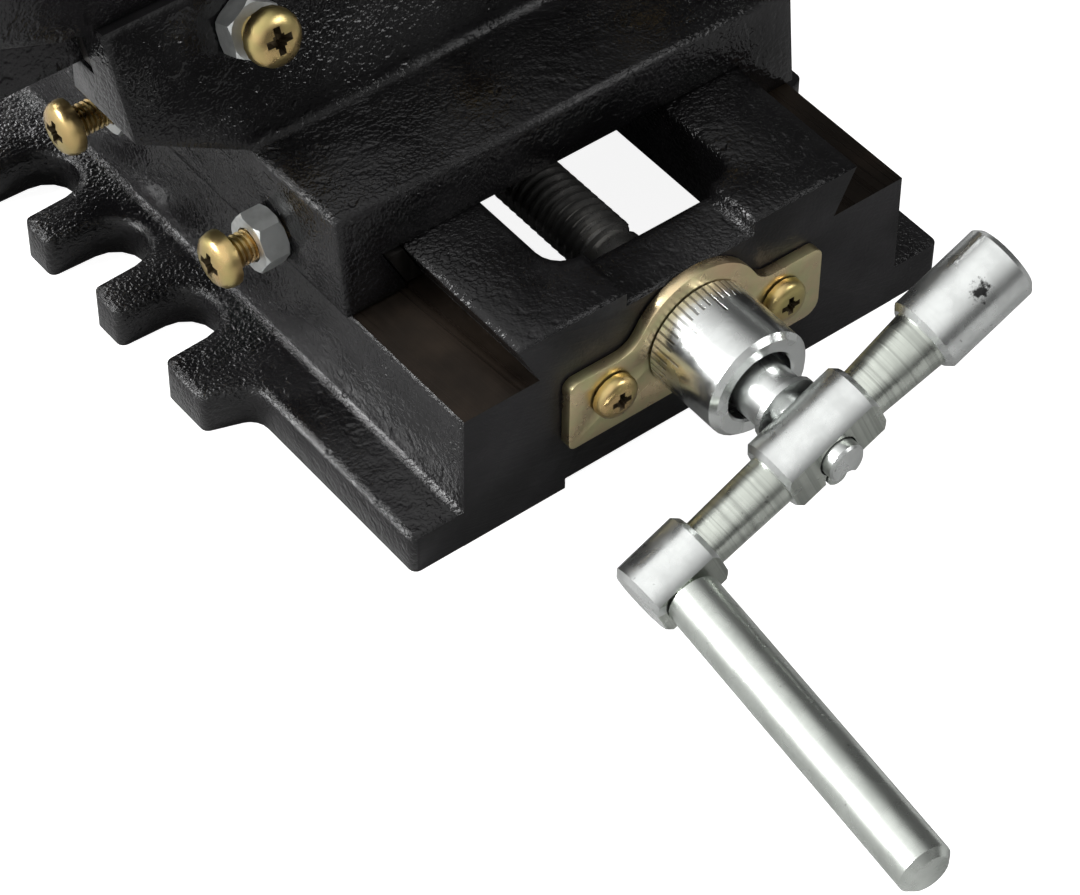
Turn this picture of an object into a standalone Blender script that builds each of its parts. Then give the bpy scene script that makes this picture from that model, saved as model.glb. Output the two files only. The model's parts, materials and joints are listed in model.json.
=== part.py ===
"""Three-inch cross slide vise for a drill press table.

A base with a dovetail carries a saddle that slides to and fro (Y). The saddle
carries a vise bed that slides left and right (X), and the bed carries a moving
jaw. Each slide has its own screw and crank. Lengths are in metres.

While the pieces are made, X = 0 is the middle of the base, Y = 0 its front face
and Z = 0 its underside. At the end the whole vise is shifted so that the origin
is the middle of its own footprint.
"""

import math

import bmesh
import bpy
from mathutils import Euler, Matrix, Vector

MM = 0.001

# Clearances
GAP = 0.3 * MM
TOP_GAP = 0.4 * MM

# Base casting
BASE_LENGTH = 180 * MM
FLANGE_REACH = 10.5 * MM
FLANGE_THICKNESS = 8.4 * MM
LUG_REACH = 9.3 * MM
LUG_LAND = 12.2 * MM
LUG_SLANT = 3.2 * MM
SLOT_COUNT = 3
SLOT_PITCH = 22.5 * MM
SLOT_WIDTH = 13.2 * MM
SLOT_LAND = 4.3 * MM
BODY_DRAFT = 0.4 * MM
WAY_HEIGHT = 30.5 * MM
CAVITY_TOP = 25 * MM
CAVITY_WALL = 5.5 * MM
END_WALL = 12 * MM
WINDOW_HALF_WIDTH = 20 * MM
WINDOW_CORNER = 5 * MM
BAR_NOTCH_HALF_WIDTH = 14 * MM
BAR_NOTCH_DEPTH = 3 * MM
FOOT_WIDTH = 32.5 * MM
FOOT_RELIEF = 2.4 * MM

# Dovetails and gib strips
DOVETAIL_ANGLE = math.radians(64)
BASE_DOVETAIL_HALF_WIDTH = 36.8 * MM
BASE_DOVETAIL_HEIGHT = 9.2 * MM
BED_DOVETAIL_HEIGHT = 11.2 * MM
GIB_THICKNESS = 3 * MM
GIB_END_MARGIN = 0.5 * MM

# Saddle casting
SADDLE_FRONT = 31 * MM
SADDLE_LENGTH = 129 * MM
SADDLE_WALL = 8.3 * MM
SADDLE_OVERHANG = 0.8 * MM
SADDLE_DRAFT = 2.2 * MM
SHELF_HEIGHT = 51 * MM
SHELF_DEPTH = 27 * MM
SHELF_FALL = 1.5 * MM
HORN_REACH = 69 * MM
HORN_END_HEIGHT = 59 * MM
HORN_LEDGE = 7 * MM
CROSS_FLOOR = 66.4 * MM
CROSS_WALL_ANGLE = math.radians(68)
CROSS_WALL_TOP_WIDTH = 9.3 * MM

# Vise bed casting
BED_LEFT = -92 * MM
BED_LENGTH = 176 * MM
BED_WIDTH = 80 * MM
BED_END_LENGTH = 21 * MM
BED_END_PROUD = 1 * MM
BED_END_RISE = 8.6 * MM
BED_DECK_THICKNESS = 9 * MM
BED_CHANNEL_WIDTH = 44 * MM
JAW_SLOT_WIDTH = 24 * MM
JAW_SLOT_END = 3 * MM
FIXED_JAW_SETBACK = 17 * MM
FIXED_JAW_THICKNESS = 22 * MM
JAW_HEIGHT = 31 * MM
SCREW_BLOCK_LENGTH = 22 * MM
SCREW_BLOCK_WIDTH = 40 * MM
SCREW_BLOCK_HEIGHT = 28 * MM
GUSSET_THICKNESS = 7 * MM
GUSSET_SPREAD = 26 * MM

# Moving jaw
JAW_OPENING = 30 * MM
JAW_THICKNESS = 24 * MM
JAW_WING_THICKNESS = 12 * MM
JAW_BACK_WIDTH = 59 * MM
JAW_PLATE_THICKNESS = 5 * MM
JAW_PLATE_HEIGHT = 27 * MM
JAW_PLATE_EDGE = 1 * MM
JAW_PLATE_SCREW_SPREAD = 25 * MM
JAW_SCREW_HEIGHT = 17 * MM
KEEPER_THICKNESS = 4.2 * MM
KEEPER_WIDTH = 40 * MM
KEEPER_LENGTH = 20 * MM
KEEPER_SCREW_SPREAD = 6 * MM

# Feed screws, shared by both slides
SCREW_DIAMETER = 12 * MM
SCREW_DEPTH = 15.5 * MM
JOURNAL_DIAMETER = 11.2 * MM
PLAIN_LENGTH = 20 * MM
COLLAR_DIAMETER = 17 * MM
COLLAR_THICKNESS = 3.6 * MM
SHAFT_DIAMETER = 11 * MM
HUB_RING_DIAMETER = 13 * MM
HUB_RING_THICKNESS = 1.1 * MM
SPIGOT_DIAMETER = 7.4 * MM
SPIGOT_PROUD = 2.4 * MM
SCREW_END_MARGIN = 8 * MM
JAW_SCREW_DIAMETER = 14 * MM
JAW_SCREW_NOSE_DIAMETER = 9.4 * MM
JAW_SCREW_NOSE_LENGTH = 8 * MM
JAW_SCREW_SPARE = 3 * MM

# Graduated dial
DIAL_DIAMETER = 21.4 * MM
DIAL_LENGTH = 16.4 * MM
DIAL_CHAMFER = 1 * MM
DIAL_MOUTH_DIAMETER = 13.8 * MM
DIAL_SEAT_LENGTH = 5 * MM

# Retaining plate
PLATE_THICKNESS = 2.2 * MM
PLATE_HALF_WIDTH = 27.8 * MM
PLATE_BELOW_AXIS = 12 * MM
PLATE_EAR_TOP = 3.6 * MM
PLATE_ARCH_RADIUS = 14 * MM
PLATE_NECK_FILLET = 5 * MM
PLATE_SCREW_SPREAD = 18.7 * MM
PLATE_SCREW_DROP = 3.2 * MM

# Crank
CRANK_OFFSET = 33.6 * MM
CRANK_TURN = math.radians(23.5)
HUB_LENGTH = 20.6 * MM
HUB_RADIUS = 7 * MM
HUB_FLAT = 1.5 * MM
BOSS_REACH = 33.3 * MM
BOSS_LENGTH = 14.2 * MM
KNOB_REACH = 34 * MM
KNOB_LENGTH = 19.9 * MM
KNOB_RADIUS = 7.25 * MM
NECK_BOSS_RADIUS = 4.45 * MM
NECK_HUB_RADIUS = 4.75 * MM
NECK_KNOB_RADIUS = 5.6 * MM
CRANK_CHAMFER = 1 * MM
HANDLE_RADIUS = 5 * MM
HANDLE_REACH = 71 * MM
HANDLE_LEAN = math.radians(5.3)
HANDLE_CHAMFER = 1.2 * MM
HANDLE_TENON_RADIUS = 3.2 * MM
KEY_RADIUS = 2.2 * MM
KEY_LENGTH = 8 * MM
KEY_DROP = 4.4 * MM
KEY_PROUD = 0.5 * MM

# Screws and nuts
M6_RADIUS = 3 * MM
M5_RADIUS = 2.5 * MM
PAN_HEAD_RADIUS = 5.25 * MM
PAN_HEAD_HEIGHT = 3.6 * MM
M4_RADIUS = 2 * MM
PLATE_HEAD_RADIUS = 4.4 * MM
PLATE_HEAD_HEIGHT = 2.6 * MM
PLATE_SCREW_LENGTH = 9 * MM
CAP_HEAD_RADIUS = 5 * MM
CAP_HEAD_HEIGHT = 6 * MM
FLAT_HEAD_RADIUS = 4.6 * MM
FLAT_SCREW_LENGTH = 12 * MM
LOCKNUT_RADIUS = 5.75 * MM
LOCKNUT_THICKNESS = 5 * MM
GIB_SCREW_COUNT = 3
GIB_SCREW_SPREAD = 43.6 * MM
GIB_SCREW_SEATS = (10 * MM, 12.6 * MM, 11 * MM)
CROSS_GIB_SCREW_SPREAD = 44.2 * MM
CROSS_GIB_SCREW_TILT = math.radians(22)
CROSS_GIB_SCREW_REACH = 7 * MM
CROSS_GIB_SCREW_SEATS = (9 * MM, 9.6 * MM, 8.6 * MM)
CROSS_GIB_SCREW_DROP = 8.4 * MM

# Screw nuts under and on the saddle
NUT_WIDTH = 26 * MM
NUT_BELOW_SCREW = 8 * MM
NUT_SPIGOT_RADIUS = 6 * MM
NUT_SPIGOT_LENGTH = 8 * MM
Y_NUT_PLACE = 84 * MM
NUT_SCREW_ENTRY = 6 * MM

# Facets of turned pieces
FINE = 36
MEDIUM = 24
COARSE = 16

# Worked out from the values above
FLANK_RUN = 1 / math.tan(DOVETAIL_ANGLE)
FLANK_SLANT = 1 / math.sin(DOVETAIL_ANGLE)
BASE_TOP = WAY_HEIGHT + BASE_DOVETAIL_HEIGHT
BASE_NECK_HALF_WIDTH = BASE_DOVETAIL_HALF_WIDTH - BASE_DOVETAIL_HEIGHT * FLANK_RUN
Y_SCREW_HEIGHT = BASE_TOP - SCREW_DEPTH
SADDLE_BACK = SADDLE_FRONT + SADDLE_LENGTH
SADDLE_BOTTOM = WAY_HEIGHT + GAP
SADDLE_ROOF = BASE_TOP + TOP_GAP
GIB_SPACE = (GIB_THICKNESS + 2 * GAP) * FLANK_SLANT
GIB_SLOT_FOOT = BASE_NECK_HALF_WIDTH + GIB_SPACE
SADDLE_HALF_WIDTH = GIB_SLOT_FOOT + (SADDLE_ROOF - WAY_HEIGHT) * FLANK_RUN + SADDLE_WALL
GIB_SCREW_HEIGHT = WAY_HEIGHT + BASE_DOVETAIL_HEIGHT / 2
GIB_SCREW_TIP = GIB_SLOT_FOOT + (GIB_SCREW_HEIGHT + M6_RADIUS - WAY_HEIGHT) * FLANK_RUN
GIB_SCREW_REACH = SADDLE_HALF_WIDTH - GIB_SCREW_TIP + GAP
BODY_HALF_WIDTH = SADDLE_HALF_WIDTH - SADDLE_OVERHANG
FLANGE_HALF_WIDTH = BODY_HALF_WIDTH + FLANGE_REACH
LUG_HALF_SPAN = FLANGE_HALF_WIDTH + LUG_REACH
SLOT_INNER_X = BODY_HALF_WIDTH + SLOT_LAND
RIDGE_Y = SADDLE_FRONT + SHELF_DEPTH
RIDGE_Z = SHELF_HEIGHT - SHELF_FALL
CROSS_TOP = CROSS_FLOOR + BED_DOVETAIL_HEIGHT
WALL_RUN = (CROSS_TOP - RIDGE_Z) / math.tan(CROSS_WALL_ANGLE)
MOUTH_FRONT = RIDGE_Y + WALL_RUN + CROSS_WALL_TOP_WIDTH
MOUTH_BACK = SADDLE_BACK - WALL_RUN - CROSS_WALL_TOP_WIDTH
FLANK_DEPTH = (CROSS_TOP - CROSS_FLOOR) * FLANK_RUN
BED_WAY = CROSS_TOP + GAP
BED_BOTTOM = CROSS_FLOOR + GAP
BED_NECK_FRONT = MOUTH_FRONT + GIB_SPACE
BED_NECK_BACK = MOUTH_BACK - GAP * FLANK_SLANT
BED_MIDDLE = (BED_NECK_FRONT + BED_NECK_BACK) / 2
X_SCREW_HEIGHT = BED_BOTTOM + SCREW_DEPTH
BED_CHANNEL_TOP = X_SCREW_HEIGHT + NUT_BELOW_SCREW + KEEPER_THICKNESS + 2 * GAP + 1 * MM
BED_TOP = BED_CHANNEL_TOP + BED_DECK_THICKNESS
BED_RIGHT = BED_LEFT + BED_LENGTH
FIXED_JAW_FACE = BED_LEFT + FIXED_JAW_SETBACK + FIXED_JAW_THICKNESS
JAW_SCREW_Z = BED_TOP + JAW_SCREW_HEIGHT
MOVING_FACE = FIXED_JAW_FACE + 2 * (JAW_PLATE_THICKNESS + GAP) + JAW_OPENING
MOVING_BACK = MOVING_FACE + JAW_THICKNESS
SCREW_BLOCK_LEFT = BED_RIGHT - SCREW_BLOCK_LENGTH
SADDLE_MIDDLE = (SADDLE_FRONT + SADDLE_BACK) / 2
HUB_BACK = CRANK_OFFSET - HUB_RADIUS - GAP - HUB_RING_THICKNESS
JAW_CRANK_SHIFT = BED_RIGHT + JAW_OPENING + JAW_SCREW_SPARE - MOVING_BACK - HUB_BACK

bpy.context.scene.unit_settings.system = "METRIC"


def clear_scene():
    """Start from an empty scene."""
    for old in list(bpy.data.objects):
        bpy.data.objects.remove(old, do_unlink=True)


def new_collection(name):
    """A collection linked to the scene."""
    made = bpy.data.collections.new(name)
    bpy.context.scene.collection.children.link(made)
    return made


clear_scene()
PARTS = new_collection("cross_slide_vise")
CUTTERS = new_collection("cutters")


def new_material(name, color, roughness, metallic):
    """One Principled material."""
    made = bpy.data.materials.new(name)
    made.use_nodes = True
    shader = made.node_tree.nodes["Principled BSDF"]
    shader.inputs["Base Color"].default_value = (*color, 1)
    shader.inputs["Roughness"].default_value = roughness
    shader.inputs["Metallic"].default_value = metallic
    made.diffuse_color = (*color, 1)
    return made


BLACK_PAINT = (0.018, 0.018, 0.020), 0.32, 0.0
BRIGHT_ZINC = (0.62, 0.64, 0.66), 0.28, 1.0
YELLOW_ZINC = (0.66, 0.55, 0.30), 0.30, 1.0
BLACK_STEEL = (0.05, 0.05, 0.05), 0.35, 1.0
GIB_STEEL = (0.12, 0.12, 0.125), 0.42, 1.0
GROUND_STEEL = (0.50, 0.51, 0.52), 0.25, 1.0
CAST_NUT = (0.22, 0.22, 0.23), 0.50, 1.0


def new_axis(name, parent=None, place=(0, 0, 0), turn=0.0):
    """An empty that pieces hang on, at a place of its parent and turned about Z."""
    made = bpy.data.objects.new(name, None)
    made.empty_display_size = 0.01
    PARTS.objects.link(made)
    made.parent = parent
    made.location = place
    made.rotation_euler = (0, 0, turn)
    return made


def hang(item, group, location, rotation):
    """Put an object at a place of the empty that carries it."""
    item.parent = group
    item.location = location
    item.rotation_euler = rotation


def finish(item, name, finish_values, group, location=(0, 0, 0), rotation=(0, 0, 0)):
    """Name a part, give it its own material and hang it on its group."""
    item.name = name
    item.data.name = name
    item.data.materials.clear()
    item.data.materials.append(new_material(name, *finish_values))
    for holder in list(item.users_collection):
        holder.objects.unlink(item)
    PARTS.objects.link(item)
    hang(item, group, location, rotation)
    return item


def as_cutter(item, group, location=(0, 0, 0), rotation=(0, 0, 0)):
    """Make an object a hidden cutter on the same group as the part it cuts."""
    item.name = "cutter"
    for holder in list(item.users_collection):
        holder.objects.unlink(item)
    CUTTERS.objects.link(item)
    item.hide_render = True
    item.display_type = "WIRE"
    hang(item, group, location, rotation)
    return item


def combine(target, other, operation):
    """Boolean of one object with another."""
    step = target.modifiers.new(operation.lower(), "BOOLEAN")
    step.operation = operation
    step.object = other
    step.solver = "EXACT"


def cut(target, other):
    """Take a cutter away from a part."""
    combine(target, other, "DIFFERENCE")


def join(target, other):
    """Add a hidden shape to a part."""
    combine(target, other, "UNION")


def object_from(bm, name):
    """An object from a bmesh."""
    mesh = bpy.data.meshes.new(name)
    bm.to_mesh(mesh)
    bm.free()
    item = bpy.data.objects.new(name, mesh)
    bpy.context.scene.collection.objects.link(item)
    return item


def box(low, high):
    """A box between two corners."""
    bm = bmesh.new()
    bmesh.ops.create_cube(bm, size=1)
    low = Vector(low)
    high = Vector(high)
    size = high - low
    bmesh.ops.transform(bm, matrix=Matrix.Diagonal((*size, 1)), verts=bm.verts)
    bmesh.ops.translate(bm, vec=(low + high) / 2, verts=bm.verts)
    return object_from(bm, "box")


def rod(radius, bottom, top, segments=MEDIUM):
    """A cylinder on the local Z axis."""
    bm = bmesh.new()
    bmesh.ops.create_cone(
        bm,
        cap_ends=True,
        segments=segments,
        radius1=radius,
        radius2=radius,
        depth=top - bottom,
    )
    bmesh.ops.translate(bm, vec=(0, 0, (top + bottom) / 2), verts=bm.verts)
    return object_from(bm, "rod")


def rounded(corners, steps=5):
    """The points of an outline whose corners are (x, y, radius)."""
    points = []
    count = len(corners)
    for index, (x, y, radius) in enumerate(corners):
        here = Vector((x, y))
        if radius == 0:
            points.append(here)
            continue
        back = (Vector(corners[index - 1][:2]) - here).normalized()
        ahead = (Vector(corners[(index + 1) % count][:2]) - here).normalized()
        half = back.angle(ahead) / 2
        centre = here + (back + ahead).normalized() * radius / math.sin(half)
        first = here + back * radius / math.tan(half) - centre
        last = here + ahead * radius / math.tan(half) - centre
        sweep = first.angle_signed(last)
        for step in range(steps + 1):
            turn = Matrix.Rotation(-sweep * step / steps, 2)
            points.append(centre + turn @ first)
    return points


def slab(points, thickness):
    """A flat outline given a thickness, centred on its own XY plane."""
    curve = bpy.data.curves.new("outline", "CURVE")
    curve.dimensions = "2D"
    curve.fill_mode = "BOTH"
    curve.extrude = thickness / 2
    spline = curve.splines.new("POLY")
    spline.points.add(len(points) - 1)
    for point, place in zip(spline.points, points):
        point.co = (place[0], place[1], 0, 1)
    spline.use_cyclic_u = True
    drawn = bpy.data.objects.new("outline", curve)
    bpy.context.scene.collection.objects.link(drawn)
    bpy.context.view_layer.update()
    evaluated = drawn.evaluated_get(bpy.context.evaluated_depsgraph_get())
    mesh = bpy.data.meshes.new_from_object(evaluated)
    bm = bmesh.new()
    bm.from_mesh(mesh)
    bmesh.ops.remove_doubles(bm, verts=bm.verts, dist=0.000001)
    bmesh.ops.recalc_face_normals(bm, faces=bm.faces)
    bpy.data.meshes.remove(mesh)
    bpy.data.objects.remove(drawn, do_unlink=True)
    return object_from(bm, "slab")


def turn_mesh(item, matrix):
    """Turn an object's mesh, so that its outline lies in another plane."""
    item.data.transform(matrix)
    return item


# An outline drawn in XZ and made thick along Y, or drawn in YZ and made thick along X
XZ_PLANE = Matrix(((1, 0, 0, 0), (0, 0, -1, 0), (0, 1, 0, 0), (0, 0, 0, 1)))
YZ_PLANE = Matrix(((0, 0, 1, 0), (1, 0, 0, 0), (0, 1, 0, 0), (0, 0, 0, 1)))


def along_y(points, front, back):
    """A solid with an XZ outline between two Y places."""
    item = turn_mesh(slab(points, back - front), XZ_PLANE)
    return turn_mesh(item, Matrix.Translation((0, (front + back) / 2, 0)))


def along_x(points, left, right):
    """A solid with a YZ outline between two X places."""
    item = turn_mesh(slab(points, right - left), YZ_PLANE)
    return turn_mesh(item, Matrix.Translation(((left + right) / 2, 0, 0)))


def along_z(points, bottom, top):
    """A solid with an XY outline between two heights."""
    item = slab(points, top - bottom)
    return turn_mesh(item, Matrix.Translation((0, 0, (top + bottom) / 2)))


def turned(profile, steps=MEDIUM, ring=False):
    """A turned solid on the local Z axis. The profile of (radius, height) runs down the outside."""
    bm = bmesh.new()
    points = [bm.verts.new((radius, 0, height)) for radius, height in profile]
    for start, end in zip(points, points[1:]):
        bm.edges.new((start, end))
    if ring:
        bm.edges.new((points[-1], points[0]))
    item = object_from(bm, "turned")
    screw = item.modifiers.new("turn", "SCREW")
    screw.steps = steps
    screw.render_steps = steps
    screw.use_merge_vertices = True
    screw.merge_threshold = 0.000002
    screw.use_smooth_shade = True
    return item


def soften(item, width, segments=2):
    """Round the sharp edges of a casting."""
    bevel = item.modifiers.new("soften", "BEVEL")
    bevel.width = width
    bevel.segments = segments
    bevel.limit_method = "ANGLE"
    bevel.angle_limit = math.radians(40)
    return item


def chamfered_cylinder(radius, bottom, top, chamfer):
    """Profile of a cylinder with both rims chamfered."""
    return [
        (0, top),
        (radius - chamfer, top),
        (radius, top - chamfer),
        (radius, bottom + chamfer),
        (radius - chamfer, bottom),
        (0, bottom),
    ]


OUTWARD = (math.radians(90), 0, 0)
TO_PLUS_X = (0, math.radians(90), 0)
TO_MINUS_X = (0, math.radians(-90), 0)
UPSIDE_DOWN = (math.radians(180), 0, 0)


def pan_head_profile(head_radius, head_height, shank_radius, length):
    """Domed head on top, shank below. The seat of the head is at height 0."""
    return [
        (0, head_height),
        (head_radius * 0.5, head_height * 0.97),
        (head_radius * 0.8, head_height * 0.85),
        (head_radius * 0.95, head_height * 0.62),
        (head_radius, head_height * 0.32),
        (head_radius, 0),
        (shank_radius, 0),
        (shank_radius, -length + shank_radius * 0.3),
        (shank_radius * 0.7, -length),
        (0, -length),
    ]


def hex_nut(radius, thickness, hole_radius):
    """A hexagon nut on the local Z axis from height 0 up, its crowning shape and its hole."""
    bm = bmesh.new()
    bmesh.ops.create_cone(
        bm, cap_ends=True, segments=6, radius1=radius, radius2=radius, depth=thickness
    )
    bmesh.ops.translate(bm, vec=(0, 0, thickness / 2), verts=bm.verts)
    nut = object_from(bm, "nut")
    profile = chamfered_cylinder(radius * 1.02, -0.02 * MM, thickness + 0.02 * MM, 0.7 * MM)
    return nut, turned(profile, MEDIUM), rod(hole_radius, -thickness, 2 * thickness, COARSE)


def base_flange_outline():
    """Plan of the flange with its hold-down slots, drawn for one side and mirrored."""
    middle = BASE_LENGTH / 2
    first = middle - SLOT_PITCH * (SLOT_COUNT - 1) / 2
    half = SLOT_WIDTH / 2
    lug = first - half - LUG_LAND
    edge = 1.5 * MM
    side = [(FLANGE_HALF_WIDTH, 0, edge), (FLANGE_HALF_WIDTH, lug - LUG_SLANT, 4 * MM)]
    side.append((LUG_HALF_SPAN, lug, edge))
    for index in range(SLOT_COUNT):
        centre = first + index * SLOT_PITCH
        side.append((LUG_HALF_SPAN, centre - half - 0.6 * MM, edge))
        side.append((SLOT_INNER_X, centre - half, half * 0.98))
        side.append((SLOT_INNER_X, centre + half, half * 0.98))
        side.append((LUG_HALF_SPAN, centre + half + 0.6 * MM, edge))
    side.append((LUG_HALF_SPAN, BASE_LENGTH - lug, edge))
    side.append((FLANGE_HALF_WIDTH, BASE_LENGTH - lug + LUG_SLANT, 4 * MM))
    side.append((FLANGE_HALF_WIDTH, BASE_LENGTH, edge))
    other = [(-x, y, radius) for x, y, radius in reversed(side)]
    return rounded(side + other, 4)


def counterbore_cutters(group, place, rotation, hole_radius, sink_radius, sink_depth, depth):
    """Cutters for a hole into a face at the local height 0, with a wider mouth."""
    mouth = as_cutter(rod(sink_radius, -sink_depth, 1 * MM), group, place, rotation)
    hole = as_cutter(rod(hole_radius, -depth, 1 * MM), group, place, rotation)
    return mouth, hole


def make_base(group):
    """Base casting: flanged feet, hollow body, dovetail on top and a window for the screw."""
    body_top = BODY_HALF_WIDTH - BODY_DRAFT
    base = along_y(
        [
            (-BODY_HALF_WIDTH, 0),
            (BODY_HALF_WIDTH, 0),
            (body_top, WAY_HEIGHT),
            (BASE_NECK_HALF_WIDTH, WAY_HEIGHT),
            (BASE_DOVETAIL_HALF_WIDTH, BASE_TOP),
            (-BASE_DOVETAIL_HALF_WIDTH, BASE_TOP),
            (-BASE_NECK_HALF_WIDTH, WAY_HEIGHT),
            (-body_top, WAY_HEIGHT),
        ],
        0,
        BASE_LENGTH,
    )
    finish(base, "base", BLACK_PAINT, group)
    flange = soften(along_z(base_flange_outline(), 0, FLANGE_THICKNESS), 0.8 * MM)
    join(base, as_cutter(flange, group))
    inner = BODY_HALF_WIDTH - CAVITY_WALL
    cavity = box((-inner, END_WALL, -MM), (inner, BASE_LENGTH - END_WALL, CAVITY_TOP))
    cut(base, as_cutter(soften(cavity, 4 * MM), group))
    corners = [
        (-WINDOW_HALF_WIDTH, END_WALL, WINDOW_CORNER),
        (WINDOW_HALF_WIDTH, END_WALL, WINDOW_CORNER),
        (WINDOW_HALF_WIDTH, BASE_LENGTH - END_WALL, WINDOW_CORNER),
        (-WINDOW_HALF_WIDTH, BASE_LENGTH - END_WALL, WINDOW_CORNER),
    ]
    window = along_z(rounded(corners), CAVITY_TOP - MM, BASE_TOP + MM)
    cut(base, as_cutter(window, group))
    notch = box(
        (-BAR_NOTCH_HALF_WIDTH, -MM, BASE_TOP - BAR_NOTCH_DEPTH),
        (BAR_NOTCH_HALF_WIDTH, END_WALL + WINDOW_CORNER / 2, BASE_TOP + MM),
    )
    cut(base, as_cutter(notch, group))
    foot_inner = FLANGE_HALF_WIDTH - FOOT_WIDTH
    relief = box((-foot_inner, -MM, -MM), (foot_inner, BASE_LENGTH + MM, FOOT_RELIEF))
    cut(base, as_cutter(relief, group))
    place = (0, 0, Y_SCREW_HEIGHT)
    for tool in collar_seat(group, place, OUTWARD):
        cut(base, tool)
    drop = Y_SCREW_HEIGHT - PLATE_SCREW_DROP
    for side in (-1, 1):
        hole = rod(M4_RADIUS + GAP, -PLATE_SCREW_LENGTH - MM, MM, COARSE)
        cut(base, as_cutter(hole, group, (side * PLATE_SCREW_SPREAD, 0, drop), OUTWARD))
    return base


def collar_seat(group, place, rotation):
    """Cutters for the journal bore of a feed screw and the seat of its collar."""
    return counterbore_cutters(
        group,
        place,
        rotation,
        JOURNAL_DIAMETER / 2 + GAP,
        COLLAR_DIAMETER / 2 + GAP,
        COLLAR_THICKNESS + 2 * GAP,
        END_WALL + 4 * MM,
    )


def retaining_plate(name, group, shaft_radius):
    """Stamped plate that holds a screw's collar in its seat, with an arch round the shaft."""
    fillet_z = PLATE_EAR_TOP + PLATE_NECK_FILLET
    fillet_x = math.sqrt((PLATE_ARCH_RADIUS + PLATE_NECK_FILLET) ** 2 - fillet_z**2)
    lean = math.atan2(fillet_x, fillet_z)
    ear = [
        (PLATE_HALF_WIDTH, -PLATE_BELOW_AXIS, 3 * MM),
        (PLATE_HALF_WIDTH, PLATE_EAR_TOP, 2 * MM),
    ]
    for step in range(6):
        turn = lean * step / 5
        x = fillet_x - PLATE_NECK_FILLET * math.sin(turn)
        ear.append((x, fillet_z - PLATE_NECK_FILLET * math.cos(turn), 0))
    for step in range(1, 8):
        turn = lean * (1 - step / 8)
        x = PLATE_ARCH_RADIUS * math.sin(turn)
        ear.append((x, PLATE_ARCH_RADIUS * math.cos(turn), 0))
    other = [(-x, z, radius) for x, z, radius in reversed(ear[1:])]
    foot = (-PLATE_HALF_WIDTH, -PLATE_BELOW_AXIS, 1.5 * MM)
    corners = [*ear, (0, PLATE_ARCH_RADIUS, 0), *other, foot]
    plate = along_y(rounded(corners), -GAP - PLATE_THICKNESS, -GAP)
    finish(plate, name, YELLOW_ZINC, group)
    cut(plate, as_cutter(rod(shaft_radius + GAP, -MM, 5 * MM), group, (0, 0, 0), OUTWARD))
    for side in (-1, 1):
        hole = rod(M4_RADIUS + GAP, -MM, 5 * MM, COARSE)
        place = (side * PLATE_SCREW_SPREAD, 0, -PLATE_SCREW_DROP)
        cut(plate, as_cutter(hole, group, place, OUTWARD))
    return plate


def plate_screws(prefix, group):
    """The two pan-head screws of a retaining plate."""
    profile = pan_head_profile(PLATE_HEAD_RADIUS, PLATE_HEAD_HEIGHT, M4_RADIUS, PLATE_SCREW_LENGTH)
    for side, word in ((-1, "left"), (1, "right")):
        screw = turned(profile, COARSE)
        seat = -PLATE_THICKNESS - 2 * GAP
        place = (side * PLATE_SCREW_SPREAD, seat, -PLATE_SCREW_DROP)
        finish(screw, f"{prefix}_plate_screw_{word}", YELLOW_ZINC, group, place, OUTWARD)


def key_cutter(group):
    """Cutter for the hole of the key that locks a crank on its screw."""
    hub_front = -(CRANK_OFFSET + HUB_RADIUS - HUB_FLAT)
    start = hub_front - KEY_PROUD
    hole = rod(KEY_RADIUS + GAP, -KEY_LENGTH - GAP, 4 * MM, COARSE)
    return as_cutter(hole, group, (0, start, -KEY_DROP), OUTWARD)


def shaft_end_profile(shaft_radius):
    """Outer end of every screw: spigot through the hub, ring behind the hub, then the shaft."""
    ring_top = CRANK_OFFSET - HUB_RADIUS - GAP
    top = CRANK_OFFSET + HUB_RADIUS - HUB_FLAT + SPIGOT_PROUD
    spigot = SPIGOT_DIAMETER / 2
    ring = HUB_RING_DIAMETER / 2
    profile = [
        (0, top),
        (spigot - 0.4 * MM, top),
        (spigot, top - 0.4 * MM),
        (spigot, ring_top),
    ]
    if ring > shaft_radius:
        profile.append((ring, ring_top))
        profile.append((ring, ring_top - HUB_RING_THICKNESS))
        profile.append((shaft_radius, ring_top - HUB_RING_THICKNESS))
    else:
        profile.append((shaft_radius - MM, ring_top))
        profile.append((shaft_radius, ring_top - MM))
    return profile


def feed_screw(prefix, group, thread_end):
    """Feed screw in one piece: shaft, collar behind the plate, journal and thread."""
    collar = COLLAR_DIAMETER / 2
    journal = JOURNAL_DIAMETER / 2
    thread = SCREW_DIAMETER / 2
    profile = shaft_end_profile(SHAFT_DIAMETER / 2) + [
        (SHAFT_DIAMETER / 2, -GAP),
        (collar, -GAP),
        (collar, -GAP - COLLAR_THICKNESS),
        (journal, -GAP - COLLAR_THICKNESS),
        (journal, -PLAIN_LENGTH),
        (thread, -PLAIN_LENGTH - MM),
        (thread, -thread_end + MM),
        (thread - MM, -thread_end),
        (0, -thread_end),
    ]
    screw = turned(profile)
    finish(screw, f"{prefix}_screw", BLACK_STEEL, group, (0, 0, 0), OUTWARD)
    cut(screw, key_cutter(group))
    return screw


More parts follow.
